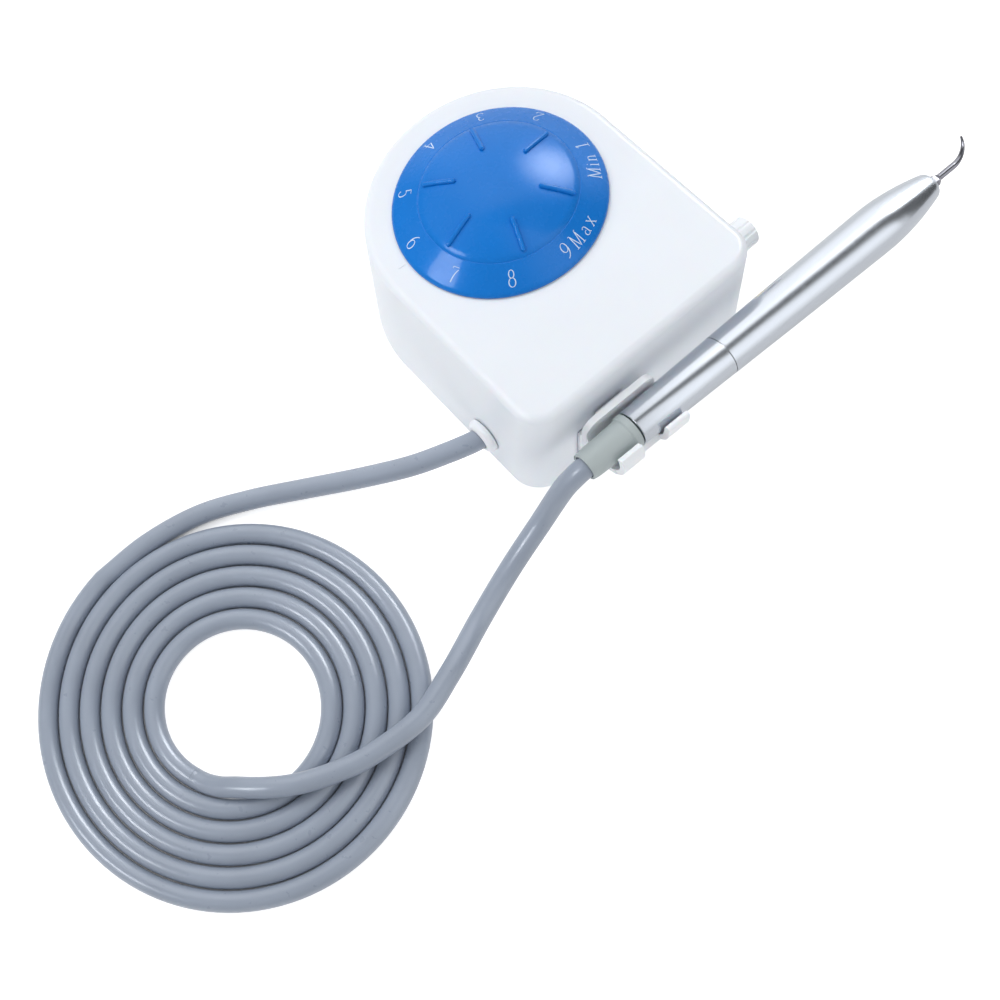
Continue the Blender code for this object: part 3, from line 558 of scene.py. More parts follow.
def index_cutter():
    """Fine radial line beside the dial that its numbers are read against."""
    angle, half_width, gap, length, depth = math.radians(-97.0), 0.15, 1.0, 2.6, 0.2
    along = Vector((math.cos(angle), math.sin(angle)))
    across = Vector((-along.y, along.x)) * half_width
    near, far = along * (DIAL_R + gap), along * (DIAL_R + gap + length)
    outline = [tuple(near - across), tuple(far - across), tuple(far + across), tuple(near + across)]
    return prism(outline, SHELL_HIGH.z - depth, SHELL_HIGH.z + 1.0, "Z")


def make_housing(look):
    """Drafted D-shaped cover, open below, with a hole for each fitting."""
    bm = bmesh.new()
    rings = []
    for offset, z in shell_levels():
        rings.append([bm.verts.new((x, y, z)) for x, y in d_outline(offset)])
    roof = rings[-3]
    for ring_a, ring_b in zip(rings, rings[1:] + rings[:1]):
        if ring_a is roof:
            bm.faces.new(ring_a)
            bm.faces.new(ring_b)
        else:
            bridge(bm, ring_a, ring_b)
    shell = finish_mesh("housing_cover", bm, look, "unit", ["housing_shell"])
    cutters = [seat_recess(), shaft_hole()]
    cutters += [panel_hole(node, radius) for node, radius in HOLE_RADII.items()]
    cutters.append(index_cutter())
    combine(shell, cutters, "DIFFERENCE")
    return flat_faces(shell)


def make_feet(look):
    """Moulded feet: a rounded pad with a shallow dimple under it, and a barbed stem above it."""
    dimple_r, dimple, flat_r, pad_r, pad_top = 2.6, 0.5, 4.3, 5.0, 0.9
    stem_r, stem_top, barb_r, end_r, top = 1.6, 3.9, 2.6, 1.4, 5.6
    corners = [(0.0, dimple), (dimple_r, 0.0), (flat_r, 0.0), (pad_r, 0.0), (pad_r, pad_top),
               (stem_r, pad_top), (stem_r, stem_top), (barb_r, stem_top), (end_r, top), (0.0, top)]
    profile = rounded(corners, {3: 0.45, 4: 0.25, 7: 0.3, 8: 0.3})
    for number in range(1, 5):
        node = f"foot_{number}"
        at = middle(node)
        lathe(f"foot_pad_{number}", profile, look, "unit", [node], "Z", (at.x, at.y, 0.0), 48)


# ------------------------------------ power dial


def dome_height(radius):
    """Height of the dial's dome, part of a sphere, at a radius; it ends just above the groove."""
    above_groove = 0.2
    drop = DOME_TOP - DOME_FOOT - above_groove
    sphere = (DOME_R ** 2 + drop ** 2) / (2.0 * drop)
    return DOME_TOP - sphere + math.sqrt(sphere ** 2 - radius ** 2)


def band_height(radius):
    """Height of the numbered band: a cone that curls over a little towards its rim."""
    rim_height, curl = 0.9, 0.12
    t = (radius - DOME_R) / (DIAL_R - DOME_R)
    low, high = DIAL_UNDER + rim_height, DOME_FOOT
    return high + (low - high) * ((1.0 - curl) * t + curl * t * t)


def make_dial(look):
    """Hollow cap: dome, groove round it, numbered band, turned-down rim and a boss on the shaft."""
    dome_edge, steps = DOME_R - 0.35, 24
    dome_radii = [DOME_R * i / steps for i in range(steps - 1)] + [dome_edge]
    dome = [(r, dome_height(r)) for r in dome_radii]
    groove = [(DOME_R - 0.12, DOME_FOOT + 0.05), (DOME_R + 0.05, DOME_FOOT - 0.13),
              (DOME_R + 0.3, DOME_FOOT - 0.1)]
    band = [(r, band_height(r)) for r in (26.6, 28.0, 29.5, 31.0, 32.3, 33.2, BAND_EDGE_R)]
    edge = band_height(BAND_EDGE_R)
    rim = [(33.95, edge - 0.3), (34.2, edge - 0.62), (DIAL_R, edge - 1.0)]
    rim_width, skin, skirt_r, skirt_top, bend_r = 1.6, 2.2, 24.6, DIAL_UNDER + 4.4, 18.0
    boss_r, boss_end, bore_r, bore_end = 6.5, DIAL_UNDER + 3.0, 3.3, DIAL_UNDER + 9.0
    inside = [(DIAL_R, DIAL_UNDER), (DIAL_R - rim_width, DIAL_UNDER), (skirt_r, skirt_top),
              (bend_r, dome_height(bend_r) - skin), (boss_r, dome_height(boss_r) - skin),
              (boss_r, boss_end), (bore_r, boss_end), (bore_r, bore_end), (0.0, bore_end)]
    profile = dome + groove + band + rim + inside
    dial = lathe("dial_cap", profile, look, "dial", ["power_dial"], "Z", (0.0, 0.0, 0.0), 144)
    ribs = [dial_rib(math.radians(FIRST_RIB + 360.0 / RIB_COUNT * i)) for i in range(RIB_COUNT)]
    return combine(dial, ribs, "UNION")


def dial_rib(angle):
    """Round-ended finger bar that lies along a radius of the dome."""
    inner, outer, half, lift, steps = 13.0, 24.3, 0.8, 0.35, 22
    bluntest = 0.02
    path, sections = [], []
    for k in range(steps + 1):
        t = k / steps
        r = inner + (outer - inner) * t
        end = min(t, 1.0 - t) * (outer - inner)
        size = half * math.sqrt(max(bluntest, 1.0 - max(0.0, 1.0 - end / half) ** 2))
        path.append(Vector((r * math.cos(angle), r * math.sin(angle), dome_height(r) + lift)))
        sections.append((size, size))
    return finish_mesh("cutter", sweep_mesh(path, sections, 16), None, None)


# ------------------------------------ printed numbers


def bow(cx, cy, rx, ry, start, end, steps=18):
    """Part of an ellipse, angles in degrees."""
    points = []
    for i in range(steps + 1):
        angle = math.radians(start + (end - start) * i / steps)
        points.append((cx + rx * math.cos(angle), cy + ry * math.sin(angle)))
    return points


def loop(cx, cy, rx, ry, steps=28):
    return bow(cx, cy, rx, ry, 0.0, 360.0, steps)


def line(*points):
    """Straight strokes, cut short enough to follow a curved surface."""
    cuts = 6
    out = []
    for (x0, y0), (x1, y1) in zip(points, points[1:]):
        out += [(x0 + (x1 - x0) * i / cuts, y0 + (y1 - y0) * i / cuts) for i in range(cuts)]
    return out + [points[-1]]


def serif(left, right, height=0.0):
    return line((left, height), (right, height))


def digit(mark):
    """Strokes of a thin serif figure one unit high, and its width."""
    if mark == "1":
        return [line((0.1, 0.84), (0.26, 1.0), (0.26, 0.0)), serif(0.1, 0.42)], 0.5
    if mark == "2":
        top = bow(0.26, 0.75, 0.21, 0.25, 165.0, -25.0)
        return [top + line(top[-1], (0.04, 0.02)), line((0.04, 0.02), (0.5, 0.02), (0.53, 0.16))], 0.56
    if mark == "3":
        upper = bow(0.24, 0.76, 0.18, 0.24, 155.0, -80.0)
        return [upper, bow(0.24, 0.28, 0.23, 0.27, 85.0, -155.0)], 0.52
    if mark == "4":
        return [line((0.52, 0.28), (0.02, 0.28), (0.38, 1.0), (0.38, 0.0)), serif(0.26, 0.5)], 0.56
    if mark == "5":
        top = line((0.46, 0.98), (0.14, 0.98), (0.1, 0.55))
        return [top, bow(0.24, 0.31, 0.23, 0.3, 128.0, -150.0)], 0.52
    if mark == "6":
        return [bow(0.62, 0.4, 0.58, 0.62, 112.0, 180.0), loop(0.27, 0.3, 0.22, 0.3)], 0.54
    if mark == "7":
        top = line((0.04, 0.86), (0.06, 0.97), (0.5, 0.97))
        return [top, bow(0.82, 0.0, 0.6, 1.0, 122.0, 178.0)], 0.52
    if mark == "8":
        return [loop(0.27, 0.76, 0.18, 0.24, 26), loop(0.27, 0.27, 0.22, 0.27)], 0.54
    if mark == "9":
        return [bow(-0.06, 0.6, 0.58, 0.62, -68.0, 0.0), loop(0.29, 0.7, 0.22, 0.3)], 0.54
    raise ValueError(mark)


def letter(mark):
    """Strokes of a thin serif letter of Min or Max, a capital being one unit high, and its width."""
    if mark == "M":
        legs = line((0.12, 0.0), (0.14, 1.0), (0.44, 0.0), (0.74, 1.0), (0.76, 0.0))
        return [legs, serif(0.02, 0.24), serif(0.64, 0.88), serif(0.02, 0.16, 1.0),
                serif(0.72, 0.86, 1.0)], 0.9
    if mark == "i":
        stem, dot = line((0.06, 0.6), (0.14, 0.62), (0.14, 0.0)), line((0.13, 0.82), (0.15, 0.88))
        return [stem, serif(0.04, 0.25), dot], 0.3
    if mark == "n":
        stem = line((0.05, 0.6), (0.13, 0.62), (0.13, 0.0))
        return [stem, bow(0.29, 0.4, 0.16, 0.22, 175.0, 0.0), line((0.45, 0.4), (0.45, 0.0)),
                serif(0.03, 0.23), serif(0.35, 0.55)], 0.58
    if mark == "a":
        return [bow(0.24, 0.44, 0.15, 0.18, 150.0, 0.0), line((0.39, 0.44), (0.39, 0.08), (0.48, 0.0)),
                bow(0.22, 0.17, 0.17, 0.17, 70.0, 320.0)], 0.52
    if mark == "x":
        return [line((0.06, 0.62), (0.44, 0.0)), line((0.44, 0.62), (0.06, 0.0)), serif(0.0, 0.15),
                serif(0.35, 0.5), serif(0.0, 0.14, 0.62), serif(0.36, 0.5, 0.62)], 0.54
    raise ValueError(mark)


def pen_edges(stroke):
    """Both sides of a stroke drawn with a pen that is wide across and thin up and down."""
    wide, thin = 0.034, 0.017
    left, right = [], []
    for i, (x, y) in enumerate(stroke):
        before, after = stroke[max(i - 1, 0)], stroke[min(i + 1, len(stroke) - 1)]
        along = (Vector(after) - Vector(before)).normalized()
        half = math.hypot(wide * along.y, thin * along.x)
        left.append((x - along.y * half, y + along.x * half))
        right.append((x + along.y * half, y - along.x * half))
    return left, right


def on_band(x, y, angle, lift):
    """Place a letter's point on the numbered band: y runs towards the dial's centre."""
    radius = BAND_MIDDLE_R - y
    turn = math.radians(angle) + x / BAND_MIDDLE_R
    return Vector((radius * math.cos(turn), radius * math.sin(turn), band_height(radius) + lift))


def write_on_band(bm, marks, angle, height, gap=0.12):
    """Add a word to the band, its middle at an angle, as thin slabs that stand just proud of it."""
    proud, sunk = 0.04, -0.08
    total = sum(width for _, width in marks) + gap * (len(marks) - 1)
    start = -total / 2
    for strokes, width in marks:
        for stroke in strokes:
            rows = []
            for (lx, ly), (rx, ry) in zip(*pen_edges(stroke)):
                row = []
                for x, y, lift in ((lx, ly, proud), (rx, ry, proud), (rx, ry, sunk), (lx, ly, sunk)):
                    spot = on_band((start + x) * height, (y - 0.5) * height, angle, lift)
                    row.append(bm.verts.new(spot))
                rows.append(row)
            for row_a, row_b in zip(rows, rows[1:]):
                bridge(bm, row_a, row_b)
            bm.faces.new(rows[0])
            bm.faces.new(rows[-1])
        start += width + gap


def make_numbers(look):
    """The power scale: Min, 1 to 9 in equal steps, Max."""
    first, step, digit_height = 79.4, 35.5, 4.6
    min_at, max_at, word_height = 63.4, 19.2, 4.3
    bm = bmesh.new()
    for number in range(1, 10):
        write_on_band(bm, [digit(str(number))], first + step * (number - 1), digit_height)
    write_on_band(bm, [letter(mark) for mark in "Min"], min_at, word_height)
    write_on_band(bm, [letter(mark) for mark in "Max"], max_at, word_height, gap=0.26)
    return finish_mesh("dial_numbers", bm, look, "dial")


# ------------------------------------ panel fittings


def turned_fitting(name, node, profile, look, segments, body="unit"):
    """Turned piece on the axis of a side wall's fitting, in place of its CAD node."""
    at = middle(node)
    return lathe(name, profile, look, body, [node], "Y", (at.x, 0.0, at.z), segments)


def make_water_knob(look):
    """Knob with a recess under it, a bore for the stem, a rounded end and grip grooves."""
    low, high = span("water_knob")
    radius, foot, end = (high.x - low.x) / 2, low.y, high.y
    wall, bore, recess, face = 1.0, 2.3, 2.1, 2.1
    cap = [(bore, foot + recess), (radius - wall, foot + recess), (radius - wall, foot),
           (radius - 0.25, foot), (radius, foot + 0.3), (radius, end), (0.0, end), (0.0, end - face),
           (bore, end - face)]
    profile = rounded(cap, {3: 0.2, 5: 0.9})
    knob = turned_fitting("water_control_knob", "water_knob", profile, look, 120, "water_control")
    return combine(knob, knob_grooves(radius, foot, end), "DIFFERENCE")


def knob_grooves(radius, foot, end):
    """Cutters round the knob, from above its skirt to past its end."""
    at = middle("water_knob")
    count, groove_r, outside, skirt = 10, 0.65, 0.2, 1.3
    grooves = []
    for i in range(count):
        angle = 2.0 * math.pi * (i + 0.5) / count
        away = radius + outside
        spot = (at.x + away * math.cos(angle), 0.0, at.z + away * math.sin(angle))
        grooves.append(rod(groove_r, foot + skirt, end + 3.0, "Y", spot, 20))
    return grooves


def make_sockets(look):
    """Round panel sockets with a bead round the rim and a blunt pin in the middle."""
    lip, bead, depth, pin_r, pin_end = 1.4, 1.0, 6.9, 0.9, 1.5
    for node, wall in (("footswitch_socket", 1.6), ("power_socket", 1.3)):
        low, high = span(node)
        foot, face, rim = low.y, high.y, (high.x - low.x) / 2
        barrel = rim - lip
        bore = barrel - wall
        body = [(0.0, foot), (barrel, foot), (barrel, face - bead), (rim, face - bead), (rim, face),
                (bore, face), (bore, face - depth), (pin_r, face - depth), (pin_r, face - pin_end),
                (0.0, face - pin_end)]
        profile = rounded(body, {3: 0.2, 4: 0.5, 5: 0.25, 8: 0.3})
        turned_fitting(f"{node}_body", node, profile, look, 72)


def make_water_inlet(look):
    """Hose fitting with a flange against the wall and two barbs on its tail."""
    low, high = span("water_inlet")
    foot, end = low.y, high.y
    bore, tail_r, barb_r, body_r, flange_r = 1.2, 2.2, 3.0, 2.9, 4.4
    flange_low, flange_high = 45.9, 47.4
    body = [(bore, foot), (2.3, foot), (body_r, foot + 3.0), (body_r, flange_low),
            (flange_r, flange_low), (flange_r, flange_high), (tail_r, flange_high),
            (tail_r, end - 7.0), (barb_r, end - 6.8), (tail_r, end - 4.0), (barb_r, end - 3.8),
            (1.8, end), (bore, end)]
    profile = rounded(body, {4: 0.2, 5: 0.35, 6: 0.4, 8: 0.12, 10: 0.12, 11: 0.2})
    turned_fitting("water_inlet_barb", "water_inlet", profile, look, 64)


def make_grommet(look):
    """Domed collar round the cord where it leaves the housing, with a neck through the wall."""
    low, high = span("cable_grommet")
    outer, bore, neck_r, catch_r = (high.x - low.x) / 2, CORD_R + 0.25, 4.9, 6.0
    collar_top, catch = low.y + 2.85, high.y - 1.55
    collar = [(bore, low.y), (5.0, low.y), (6.1, low.y + 0.8), (outer, low.y + 1.9), (outer, collar_top),
              (neck_r, collar_top), (neck_r, catch), (catch_r, catch), (catch_r, high.y), (bore, high.y)]
    profile = rounded(collar, {0: 0.2, 1: 0.5, 2: 0.5, 3: 0.4})
    turned_fitting("cord_grommet", "cable_grommet", profile, look, 96)


# ------------------------------------ cord


def coil_point(angle_deg):
    """Centre line of the flat spiral, which drifts a little from its outer to its inner centre."""
    t = (angle_deg - COIL_START) / (COIL_END - COIL_START)
    radius = COIL_OUTER_R + (COIL_INNER_R - COIL_OUTER_R) * t
    angle = math.radians(angle_deg)
    x = COIL_X + COIL_DRIFT_X * t + radius * math.cos(angle)
    y = COIL_Y + COIL_DRIFT_Y * t + radius * math.sin(angle)
    return Vector((x, y, CORD_Z))


def still_path():
    """Centre line from the grommet down to the table and round the coil to its inner end."""
    outlet = middle("cable_grommet")
    coil_steps = 640
    run = [(outlet.x, -38.0, outlet.z), (outlet.x, -44.0, outlet.z), (outlet.x - 0.6, -50.0, 14.4),
           (39.8, -60.5, 12.2), (34.0, -72.0, 9.8), (24.0, -87.5, 6.8), (13.0, -104.0, 4.8),
           (2.5, -121.0, 4.0), (-6.0, -139.0, CORD_Z), (-10.4, -160.0, CORD_Z),
           tuple(coil_point(COIL_START))]
    path = curve_through(run, 10)[:-1]
    for i in range(coil_steps + 1):
        path.append(coil_point(COIL_START + (COIL_END - COIL_START) * i / coil_steps))
    return path


def lead_path():
    """Centre line from the coil's inner end, over its turns and up into the connector's sleeve."""
    last = coil_point(COIL_END)
    ahead = (last - coil_point(COIL_END - 2.0)).normalized()
    over_coil = 11.9
    climb = [(75.9, -196.3, 4.7), (80.2, -193.0, 6.6), (84.0, -188.9, 8.7), (88.3, -184.3, 10.4),
             (92.5, -179.2, 11.6), (96.3, -173.5, 12.0)]
    across = [(99.4, -167.2, over_coil), (102.4, -159.2, over_coil), (105.6, -146.5, over_coil),
              (106.4, -126.0, over_coil), (101.0, -108.5, 11.2), (92.5, -88.5, 8.8)]
    rise = [(86.4, -70.4, 12.0), (82.8, -54.0, 20.0), (81.9, -44.5, 30.4), (82.2, -39.6, 35.0),
            (GRIP.x, -36.0, GRIP.z - 0.3), (GRIP.x, -32.0, GRIP.z), (GRIP.x, -26.0, GRIP.z)]
    return curve_through([tuple(last), tuple(last + ahead * 2.2)] + climb + across + rise, 10)


def cord_mesh(path):
    sides = 28
    return sweep_mesh(path, [(CORD_R, CORD_R)] * len(path), sides)


def make_cord(look):
    """Coil that lies still, and a lead that stretches between it and the handpiece's connector."""
    finish_mesh("cord_coil", cord_mesh(still_path()), look, "unit", ["cable_coil"])
    lead = finish_mesh("cord_lead", cord_mesh(lead_path()), look, None, ["cable_lead"])
    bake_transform(lead)


# ------------------------------------ holder


def finger_outline(start, end, steps):
    """Section of a finger that follows the handpiece round, between two angles in degrees."""
    inner = arc(GRIP.x, GRIP.z, CRADLE_R, start, end, steps)
    return inner + arc(GRIP.x, GRIP.z, CRADLE_R + CRADLE_WALL, end, start, steps)


def lipped_outline(start, lip, steps=32):
    """Section of a finger that goes round to the outer side and then straight up by the lip."""
    inner = arc(GRIP.x, GRIP.z, CRADLE_R, start, 360.0, steps)
    outer = arc(GRIP.x, GRIP.z, CRADLE_R + CRADLE_WALL, 360.0, start, steps)
    crown = arc(GRIP.x + CRADLE_R + CRADLE_WALL / 2, GRIP.z + lip, CRADLE_WALL / 2, 180.0, 0.0, 8)
    return inner + crown + outer


def seat_outline():
    """Plate in the wall's recess, x and z; both its faces lean with the wall."""
    sunk, proud = 0.9, 0.3
    low_x, high_x = FLAT_X + flare(SEAT_LOW), FLAT_X + flare(SEAT_HIGH)
    return [(low_x - sunk, SEAT_LOW), (low_x + proud, SEAT_LOW),
            (high_x + proud, SEAT_HIGH), (high_x - sunk, SEAT_HIGH)]


def arm_outline(back_x):
    """Arm from the seat's upper end out to the upright back, x and z."""
    wall_x = FLAT_X + flare(SEAT_HIGH)
    top, overlap = 36.0, 1.0
    return [(wall_x, 14.0), (back_x - overlap, 18.0), (back_x - overlap, top), (wall_x + 0.3, top),
            (wall_x + 0.35, 26.0), (wall_x, 25.0)]


def back_outline(y_low, y_high, top):
    """Upright back with two round upper corners, y and z."""
    foot, corner = 28.0, 5.0
    outline = [(y_low, foot), (y_high, foot)]
    outline += arc(y_high - corner, top - corner, corner, 0.0, 90.0, 12)
    return outline + arc(y_low + corner, top - corner, corner, 90.0, 180.0, 12)


def make_holder(look):
    """Seat plate, arm, upright back, trough and two fingers, all one moulding with soft edges.

    Each part lies along Y by its distances from the holder's two ends."""
    low, high = span("handpiece_holder")
    y0, y1 = low.y, high.y
    back_x = GRIP.x - CRADLE_R
    arm_inset = 7.7
    holder = prism(seat_outline(), y0 + 2.0, y1 - 1.8, "Y")
    parts = [
        prism(arm_outline(back_x), y0 + arm_inset, y1 - arm_inset, "Y"),
        prism(back_outline(y0, y1, high.z), back_x - CRADLE_WALL, back_x, "X"),
        prism(finger_outline(180.0, 315.0, 24), y0 + 0.2, y1 - 0.9, "Y"),
        prism(finger_outline(190.0, 395.0, 40), y0 + 0.4, y0 + 8.6, "Y"),
        prism(lipped_outline(190.0, 3.4), y1 - 9.4, y1 - 1.2, "Y"),
    ]
    combine(holder, parts, "UNION")
    holder.name = "holder_cradle"
    holder.data.materials.append(look)
    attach(holder, "unit")
    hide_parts("handpiece_holder")
    return soften(holder, 0.35)


# ------------------------------------ handpiece


def turned(name, profile, look, body, stands_for, segments=128):
    """Turned piece on the handpiece's own axis."""
    return lathe(name, profile, look, body, stands_for, "Y", (GRIP.x, 0.0, GRIP.z), segments)


def make_sleeve(look):
    """Tapered sleeve with a collar, and a spigot with an O-ring groove that enters the barrel."""
    low, high = span("connector_sleeve")
    rear, end, front = low.y, high.y, REAR_Y - 0.4
    bore, bore_end, collar_r, spigot_r = CORD_R + 0.3, -23.0, 6.25, 4.3
    groove_r, groove_low, groove_high = 3.4, -12.8, -11.2
    body = [(bore, rear), (4.85, rear), (5.2, rear + 1.4), (5.62, -20.1), (collar_r, -19.7),
            (collar_r, front), (spigot_r, front), (spigot_r, groove_low), (groove_r, groove_low),
            (groove_r, groove_high), (spigot_r, groove_high), (spigot_r, end), (0.0, end),
            (0.0, bore_end), (bore, bore_end)]
    profile = rounded(body, {0: 0.15, 1: 0.45, 2: 1.5, 3: 0.3, 4: 0.3, 5: 0.3})
    return turned("cord_sleeve", profile, look, "connector", ["connector_sleeve"])


def make_rear_barrel(look):
    """Widening barrel with a step at the joint line that enters the front one."""
    bore, step_r, joint, step_end = 5.1, 6.2, JOINT_Y - 0.14, JOINT_Y + 5.5
    corners = [(bore, REAR_Y), (6.35, REAR_Y), (6.8, -1.5), (7.13, joint), (step_r, joint),
               (step_r, step_end), (bore, step_end)]
    return turned("barrel_rear", rounded(corners, {1: 0.3, 3: 0.12}), look, "handpiece", ["rear_barrel"])


def make_front_barrel(look):
    """Barrel that swells a little and then narrows to a rounded nose with a hole for the tip."""
    hole_r, chamber_r, bore = 2.6, 6.4, 6.5
    side = [(7.15, JOINT_Y), (7.35, 30.0), (7.6, 45.0), (7.85, 68.0), (7.95, 79.0), (7.68, 84.0),
            (7.17, 88.0), (6.43, 92.0), (5.46, 96.0), (4.75, 98.5)]
    outside = [(p.x, p.y) for p in curve_through([(*p, 0.0) for p in side], 6)]
    nose = [(4.4, NOSE_Y - 0.5), (4.15, NOSE_Y - 0.12), (3.7, NOSE_Y), (hole_r, NOSE_Y)]
    inside = [(hole_r, NOSE_Y - 3.0), (3.4, NOSE_Y - 5.4), (chamber_r, 79.0), (bore, JOINT_Y)]
    return turned("barrel_front", outside + nose + inside, look, "handpiece", ["front_barrel"])


def make_tip_collar(look):
    """Hexagonal collar with a coned end, on a stem that reaches into the nose."""
    seat, stem_r, corner_r = NOSE_Y - 6.6, 0.8, 2.05
    cone_start, cone_end = NOSE_Y + 2.3, NOSE_Y + 3.7
    corners = [(0.0, seat), (stem_r, seat), (stem_r, NOSE_Y - 0.85), (corner_r, NOSE_Y - 0.8),
               (corner_r, cone_start), (1.15, cone_end), (0.0, cone_end)]
    return turned("tip_collar", rounded(corners, {4: 0.25}), look, "tip", (), segments=6)


def make_tip_pick(look):
    """Round shank and a flattened pick that curves to a fine point."""
    shank_r, thinning, flattening, steps = 1.06, 0.74, 0.3, 40
    bend_at, bend_r, bend_angle, roll = NOSE_Y + 9.2, 6.6, math.radians(84.0), math.radians(35.0)
    straight = [NOSE_Y + 1.8, NOSE_Y + 4.0, NOSE_Y + 6.0, NOSE_Y + 7.6, bend_at]
    path = [Vector((GRIP.x, y, GRIP.z)) for y in straight]
    sections = [(shank_r, shank_r)] * len(straight)
    bend = Vector((-math.cos(roll), 0.0, math.sin(roll)))
    for i in range(1, steps + 1):
        t = i / steps
        turn = bend_angle * t
        along = Vector((0.0, bend_r * math.sin(turn), 0.0))
        path.append(Vector((GRIP.x, bend_at, GRIP.z)) + along + bend * (bend_r * (1.0 - math.cos(turn))))
        wide = shank_r - thinning * t ** 1.5
        sections.append((wide, wide * (1.0 - flattening * min(1.0, 2.0 * t))))
    return finish_mesh("tip_pick", sweep_mesh(path, sections, 24), look, "tip", ["scaler_tip"])


# ------------------------------------ studio


def make_floor():
    """Pale table top with a glow of its own, which keeps it as white as a blank background.

    The glow is weaker in reflections. It fades where something stands close over the table, which is painted
    shade: the narrow gaps between the coil's turns go dark."""
    half_size = 3000.0
    glow, less_in_reflections, more_for_camera = 0.66, 0.32, 0.12
    reach, dark_at, full_at = 9.0, 0.10, 0.28
    bm = bmesh.new()
    signs = ((-1, -1), (1, -1), (1, 1), (-1, 1))
    bm.faces.new([bm.verts.new((x * half_size, y * half_size, 0.0)) for x, y in signs])
    look = surface("pale_floor", (0.50, 0.503, 0.508), roughness=0.7, grain=2.0, depth=0.002, tint=0.003,
                   Emission_Color=(1.0, 1.0, 1.0))
    graph = Graph(look.node_tree)
    rays = graph.node("ShaderNodeLightPath").outputs
    less = graph.math("MULTIPLY", rays["Is Glossy Ray"], less_in_reflections)
    more = graph.math("MULTIPLY", rays["Is Camera Ray"], more_for_camera)
    strength = graph.math("ADD", graph.math("SUBTRACT", glow, less), more)
    # painted shade: the floor's glow is cut where little open sky is seen over it, darkening the narrow gaps
    # between the coil's turns
    painted_shade_ao = graph.node("ShaderNodeAmbientOcclusion", {"Distance": reach * MM}, samples=8).outputs["AO"]
    strength = graph.math("MULTIPLY", strength, graph.spread(painted_shade_ao, 0.0, 1.0, dark_at, full_at))
    graph.feed(look.node_tree.nodes["Principled BSDF"].inputs["Emission Strength"], strength)
    finish_mesh("studio_floor", bm, look, None)


def make_world():
    """White for the camera, plain for diffuse light, and a tent with two glowing panels in reflections."""
    plain, tone = 0.42, (0.97, 0.985, 1.0)
    world = bpy.data.worlds.new("studio")
    bpy.context.scene.world = world
    world.use_nodes = True
    graph = Graph(world.node_tree)
    background = world.node_tree.nodes["Background"]
    rays = graph.node("ShaderNodeLightPath").outputs
    towards = graph.node("ShaderNodeTexCoord").outputs["Generated"]
    broad = panel(graph, towards, azimuth=107.0, elevation=38.0, spread=21.0, brightness=15.0, core=0.0)
    crisp = panel(graph, towards, azimuth=-103.0, elevation=47.0, spread=11.0, brightness=11.0, core=0.85)
    reflected = graph.math("ADD", tent(graph, towards), graph.math("ADD", broad, crisp))
    strength = graph.either(rays["Is Glossy Ray"], reflected, plain)
    graph.feed(background.inputs["Strength"], graph.either(rays["Is Camera Ray"], 1.0, strength))
    graph.feed(background.inputs["Color"], tone)


def tent(graph, towards):
    """Brightness by direction: it grows with height and towards +Y, and is dark in a slanting slot.

    The slot's centre shifts to +X and the slot widens as the direction turns to +Y. It puts the dark
    band along the handpiece."""
    lean, offset, widening, half_width, thinnest = 0.856, 0.173, 0.45, 0.0945, 0.001
    axes = graph.node("ShaderNodeSeparateXYZ", {"Vector": towards}).outputs
    centre = graph.math("SUBTRACT", graph.math("MULTIPLY", axes["Y"], lean), offset)
    beside = graph.math("ABSOLUTE", graph.math("SUBTRACT", axes["X"], centre))
    width = graph.math("ADD", graph.math("MULTIPLY", axes["Y"], widening), half_width)
    across = graph.math("DIVIDE", beside, graph.math("MAXIMUM", width, thinnest))
    slot = graph.spread(across, low=0.10, high=1.0, start=0.65, end=1.25)
    by_height = graph.spread(axes["Z"], low=0.9, high=1.5, start=-0.1, end=0.45)
    by_side = graph.spread(axes["Y"], low=0.16, high=1.0, start=-0.12, end=0.24)
    return graph.math("MULTIPLY", graph.math("MULTIPLY", by_height, by_side), slot)


def direction(azimuth, elevation):
    """Unit vector towards a compass angle from +X and a height, in degrees."""
    a, e = math.radians(azimuth), math.radians(elevation)
    return Vector((math.cos(a) * math.cos(e), math.sin(a) * math.cos(e), math.sin(e)))


def panel(graph, towards, azimuth, elevation, spread, brightness, core):
    """Round glow in one direction of the sky, at full strength over its core share of the spread."""
    aim = graph.node("ShaderNodeVectorMath", {0: towards, 1: tuple(direction(azimuth, elevation))},
                     operation="DOT_PRODUCT")
    edge, full = math.cos(math.radians(spread)), math.cos(math.radians(spread * core))
    root = graph.spread(aim.outputs["Value"], 0.0, brightness ** 0.5, edge, full)
    return graph.math("POWER", root, 2.0)


def make_lights():
    """A key beside the dial, a fill from the far side, one high over the holder, and two low ones
    for the walls."""
    soft_box("key", azimuth=-165.0, elevation=54.0, size=0.9, power=6.6)
    soft_box("fill", azimuth=110.0, elevation=60.0, size=0.8, power=1.2)
    soft_box("high", azimuth=20.0, elevation=62.0, size=0.7, power=1.7)
    soft_box("front", azimuth=-90.0, elevation=15.0, size=0.5, power=1.9)
    soft_box("side", azimuth=0.0, elevation=12.0, size=0.5, power=1.0)


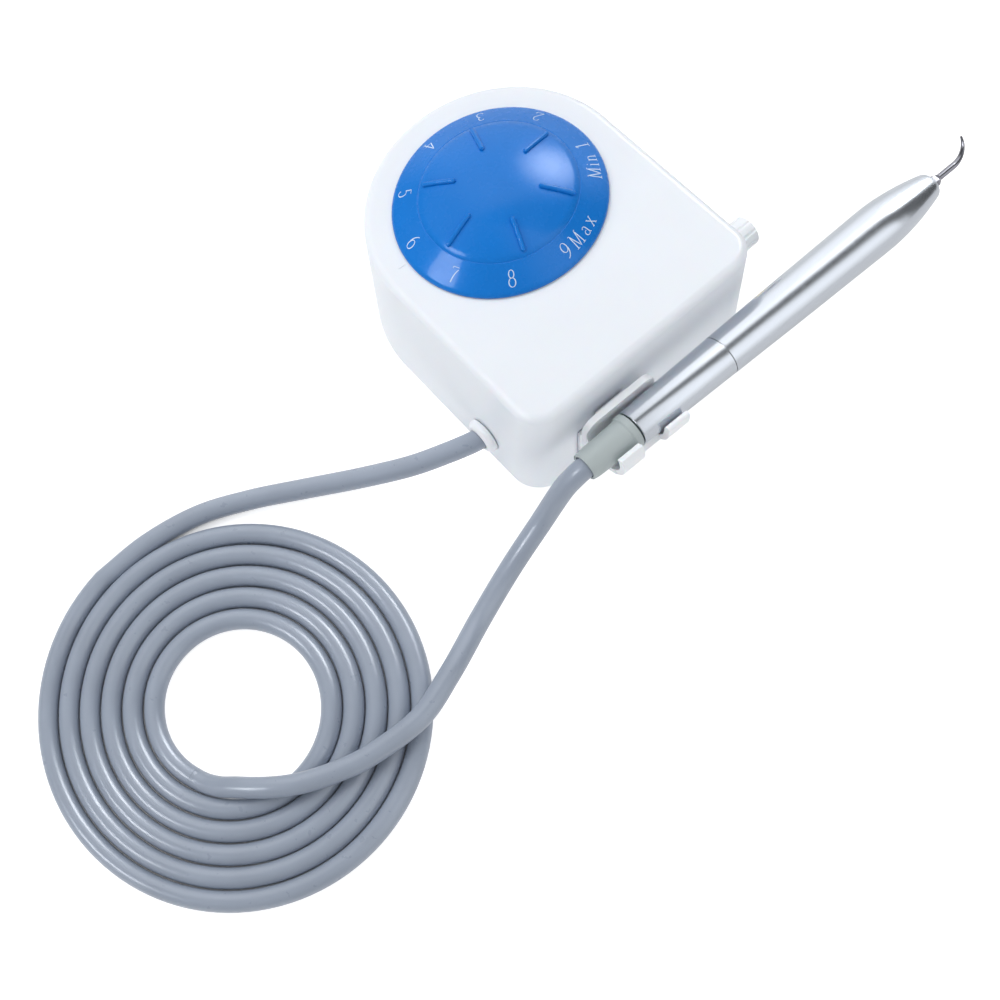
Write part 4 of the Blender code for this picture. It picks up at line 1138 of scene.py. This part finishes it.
def soft_box(name, azimuth, elevation, size, power):
    """Square light, in metres and watts, that faces the origin and stays out of reflections."""
    distance = 1.1
    data = bpy.data.lights.new(name, "AREA")
    data.size = size
    data.energy = power
    light = bpy.data.objects.new(name, data)
    bpy.context.scene.collection.objects.link(light)
    aim = direction(azimuth, elevation)
    light.location = aim * distance
    light.rotation_euler = aim.to_track_quat("Z", "Y").to_euler()
    light.visible_glossy = False


def make_camera():
    """Steep view from beyond the holder, turned so that the handpiece rises to the right."""
    data = bpy.data.cameras.new("camera")
    camera = bpy.data.objects.new("camera", data)
    bpy.context.scene.collection.objects.link(camera)
    bpy.context.scene.camera = camera
    spot = Vector((194.47, -145.57, 441.12))
    azimuth, elevation, roll = 99.49, 69.46, -48.46
    turn = Matrix.Rotation(math.radians(azimuth), 3, "Z")
    turn = turn @ Matrix.Rotation(math.radians(90.0 - elevation), 3, "X")
    turn = turn @ Matrix.Rotation(math.radians(roll), 3, "Z")
    camera.location = spot * MM + DIAL_FOOT
    camera.rotation_euler = turn.to_euler()
    data.sensor_width = 36.0
    data.lens = 46.67
    data.clip_start, data.clip_end = 0.01, 20.0
    off_centre(camera, "shift_x", 0.3109)
    off_centre(camera, "shift_y", 0.1508)


def off_centre(camera, axis, shift):
    """Frame the picture off the lens's axis, but only while the camera stands on its own spot."""
    near = 0.0005
    driver = camera.data.driver_add(axis).driver
    spot = driver.variables.new()
    spot.name = "spot"
    spot.targets[0].id = camera
    spot.targets[0].data_path = "location.x"
    driver.type = "SCRIPTED"
    driver.expression = f"{shift} if abs(spot - {camera.location.x:.6f}) < {near} else 0.0"


# ------------------------------------ assembly


def main():
    looks = make_looks()
    dress_cad_nodes(looks)
    make_housing(looks["white_shell"])
    make_feet(looks["black_rubber"])
    make_dial(looks["dial_blue"])
    make_numbers(numbers_look())
    make_water_knob(looks["white_trim"])
    make_sockets(looks["black_plastic"])
    make_water_inlet(looks["brass"])
    make_grommet(looks["white_trim"])
    make_cord(looks["cord_silicone"])
    make_holder(looks["white_trim"])
    make_sleeve(looks["sage_plastic"])
    make_rear_barrel(looks["satin_metal"])
    make_front_barrel(looks["satin_metal"])
    make_tip_collar(looks["steel"])
    make_tip_pick(looks["steel"])
    make_floor()
    make_world()
    make_lights()
    make_camera()
    bpy.context.scene.view_settings.view_transform = "Standard"


main()
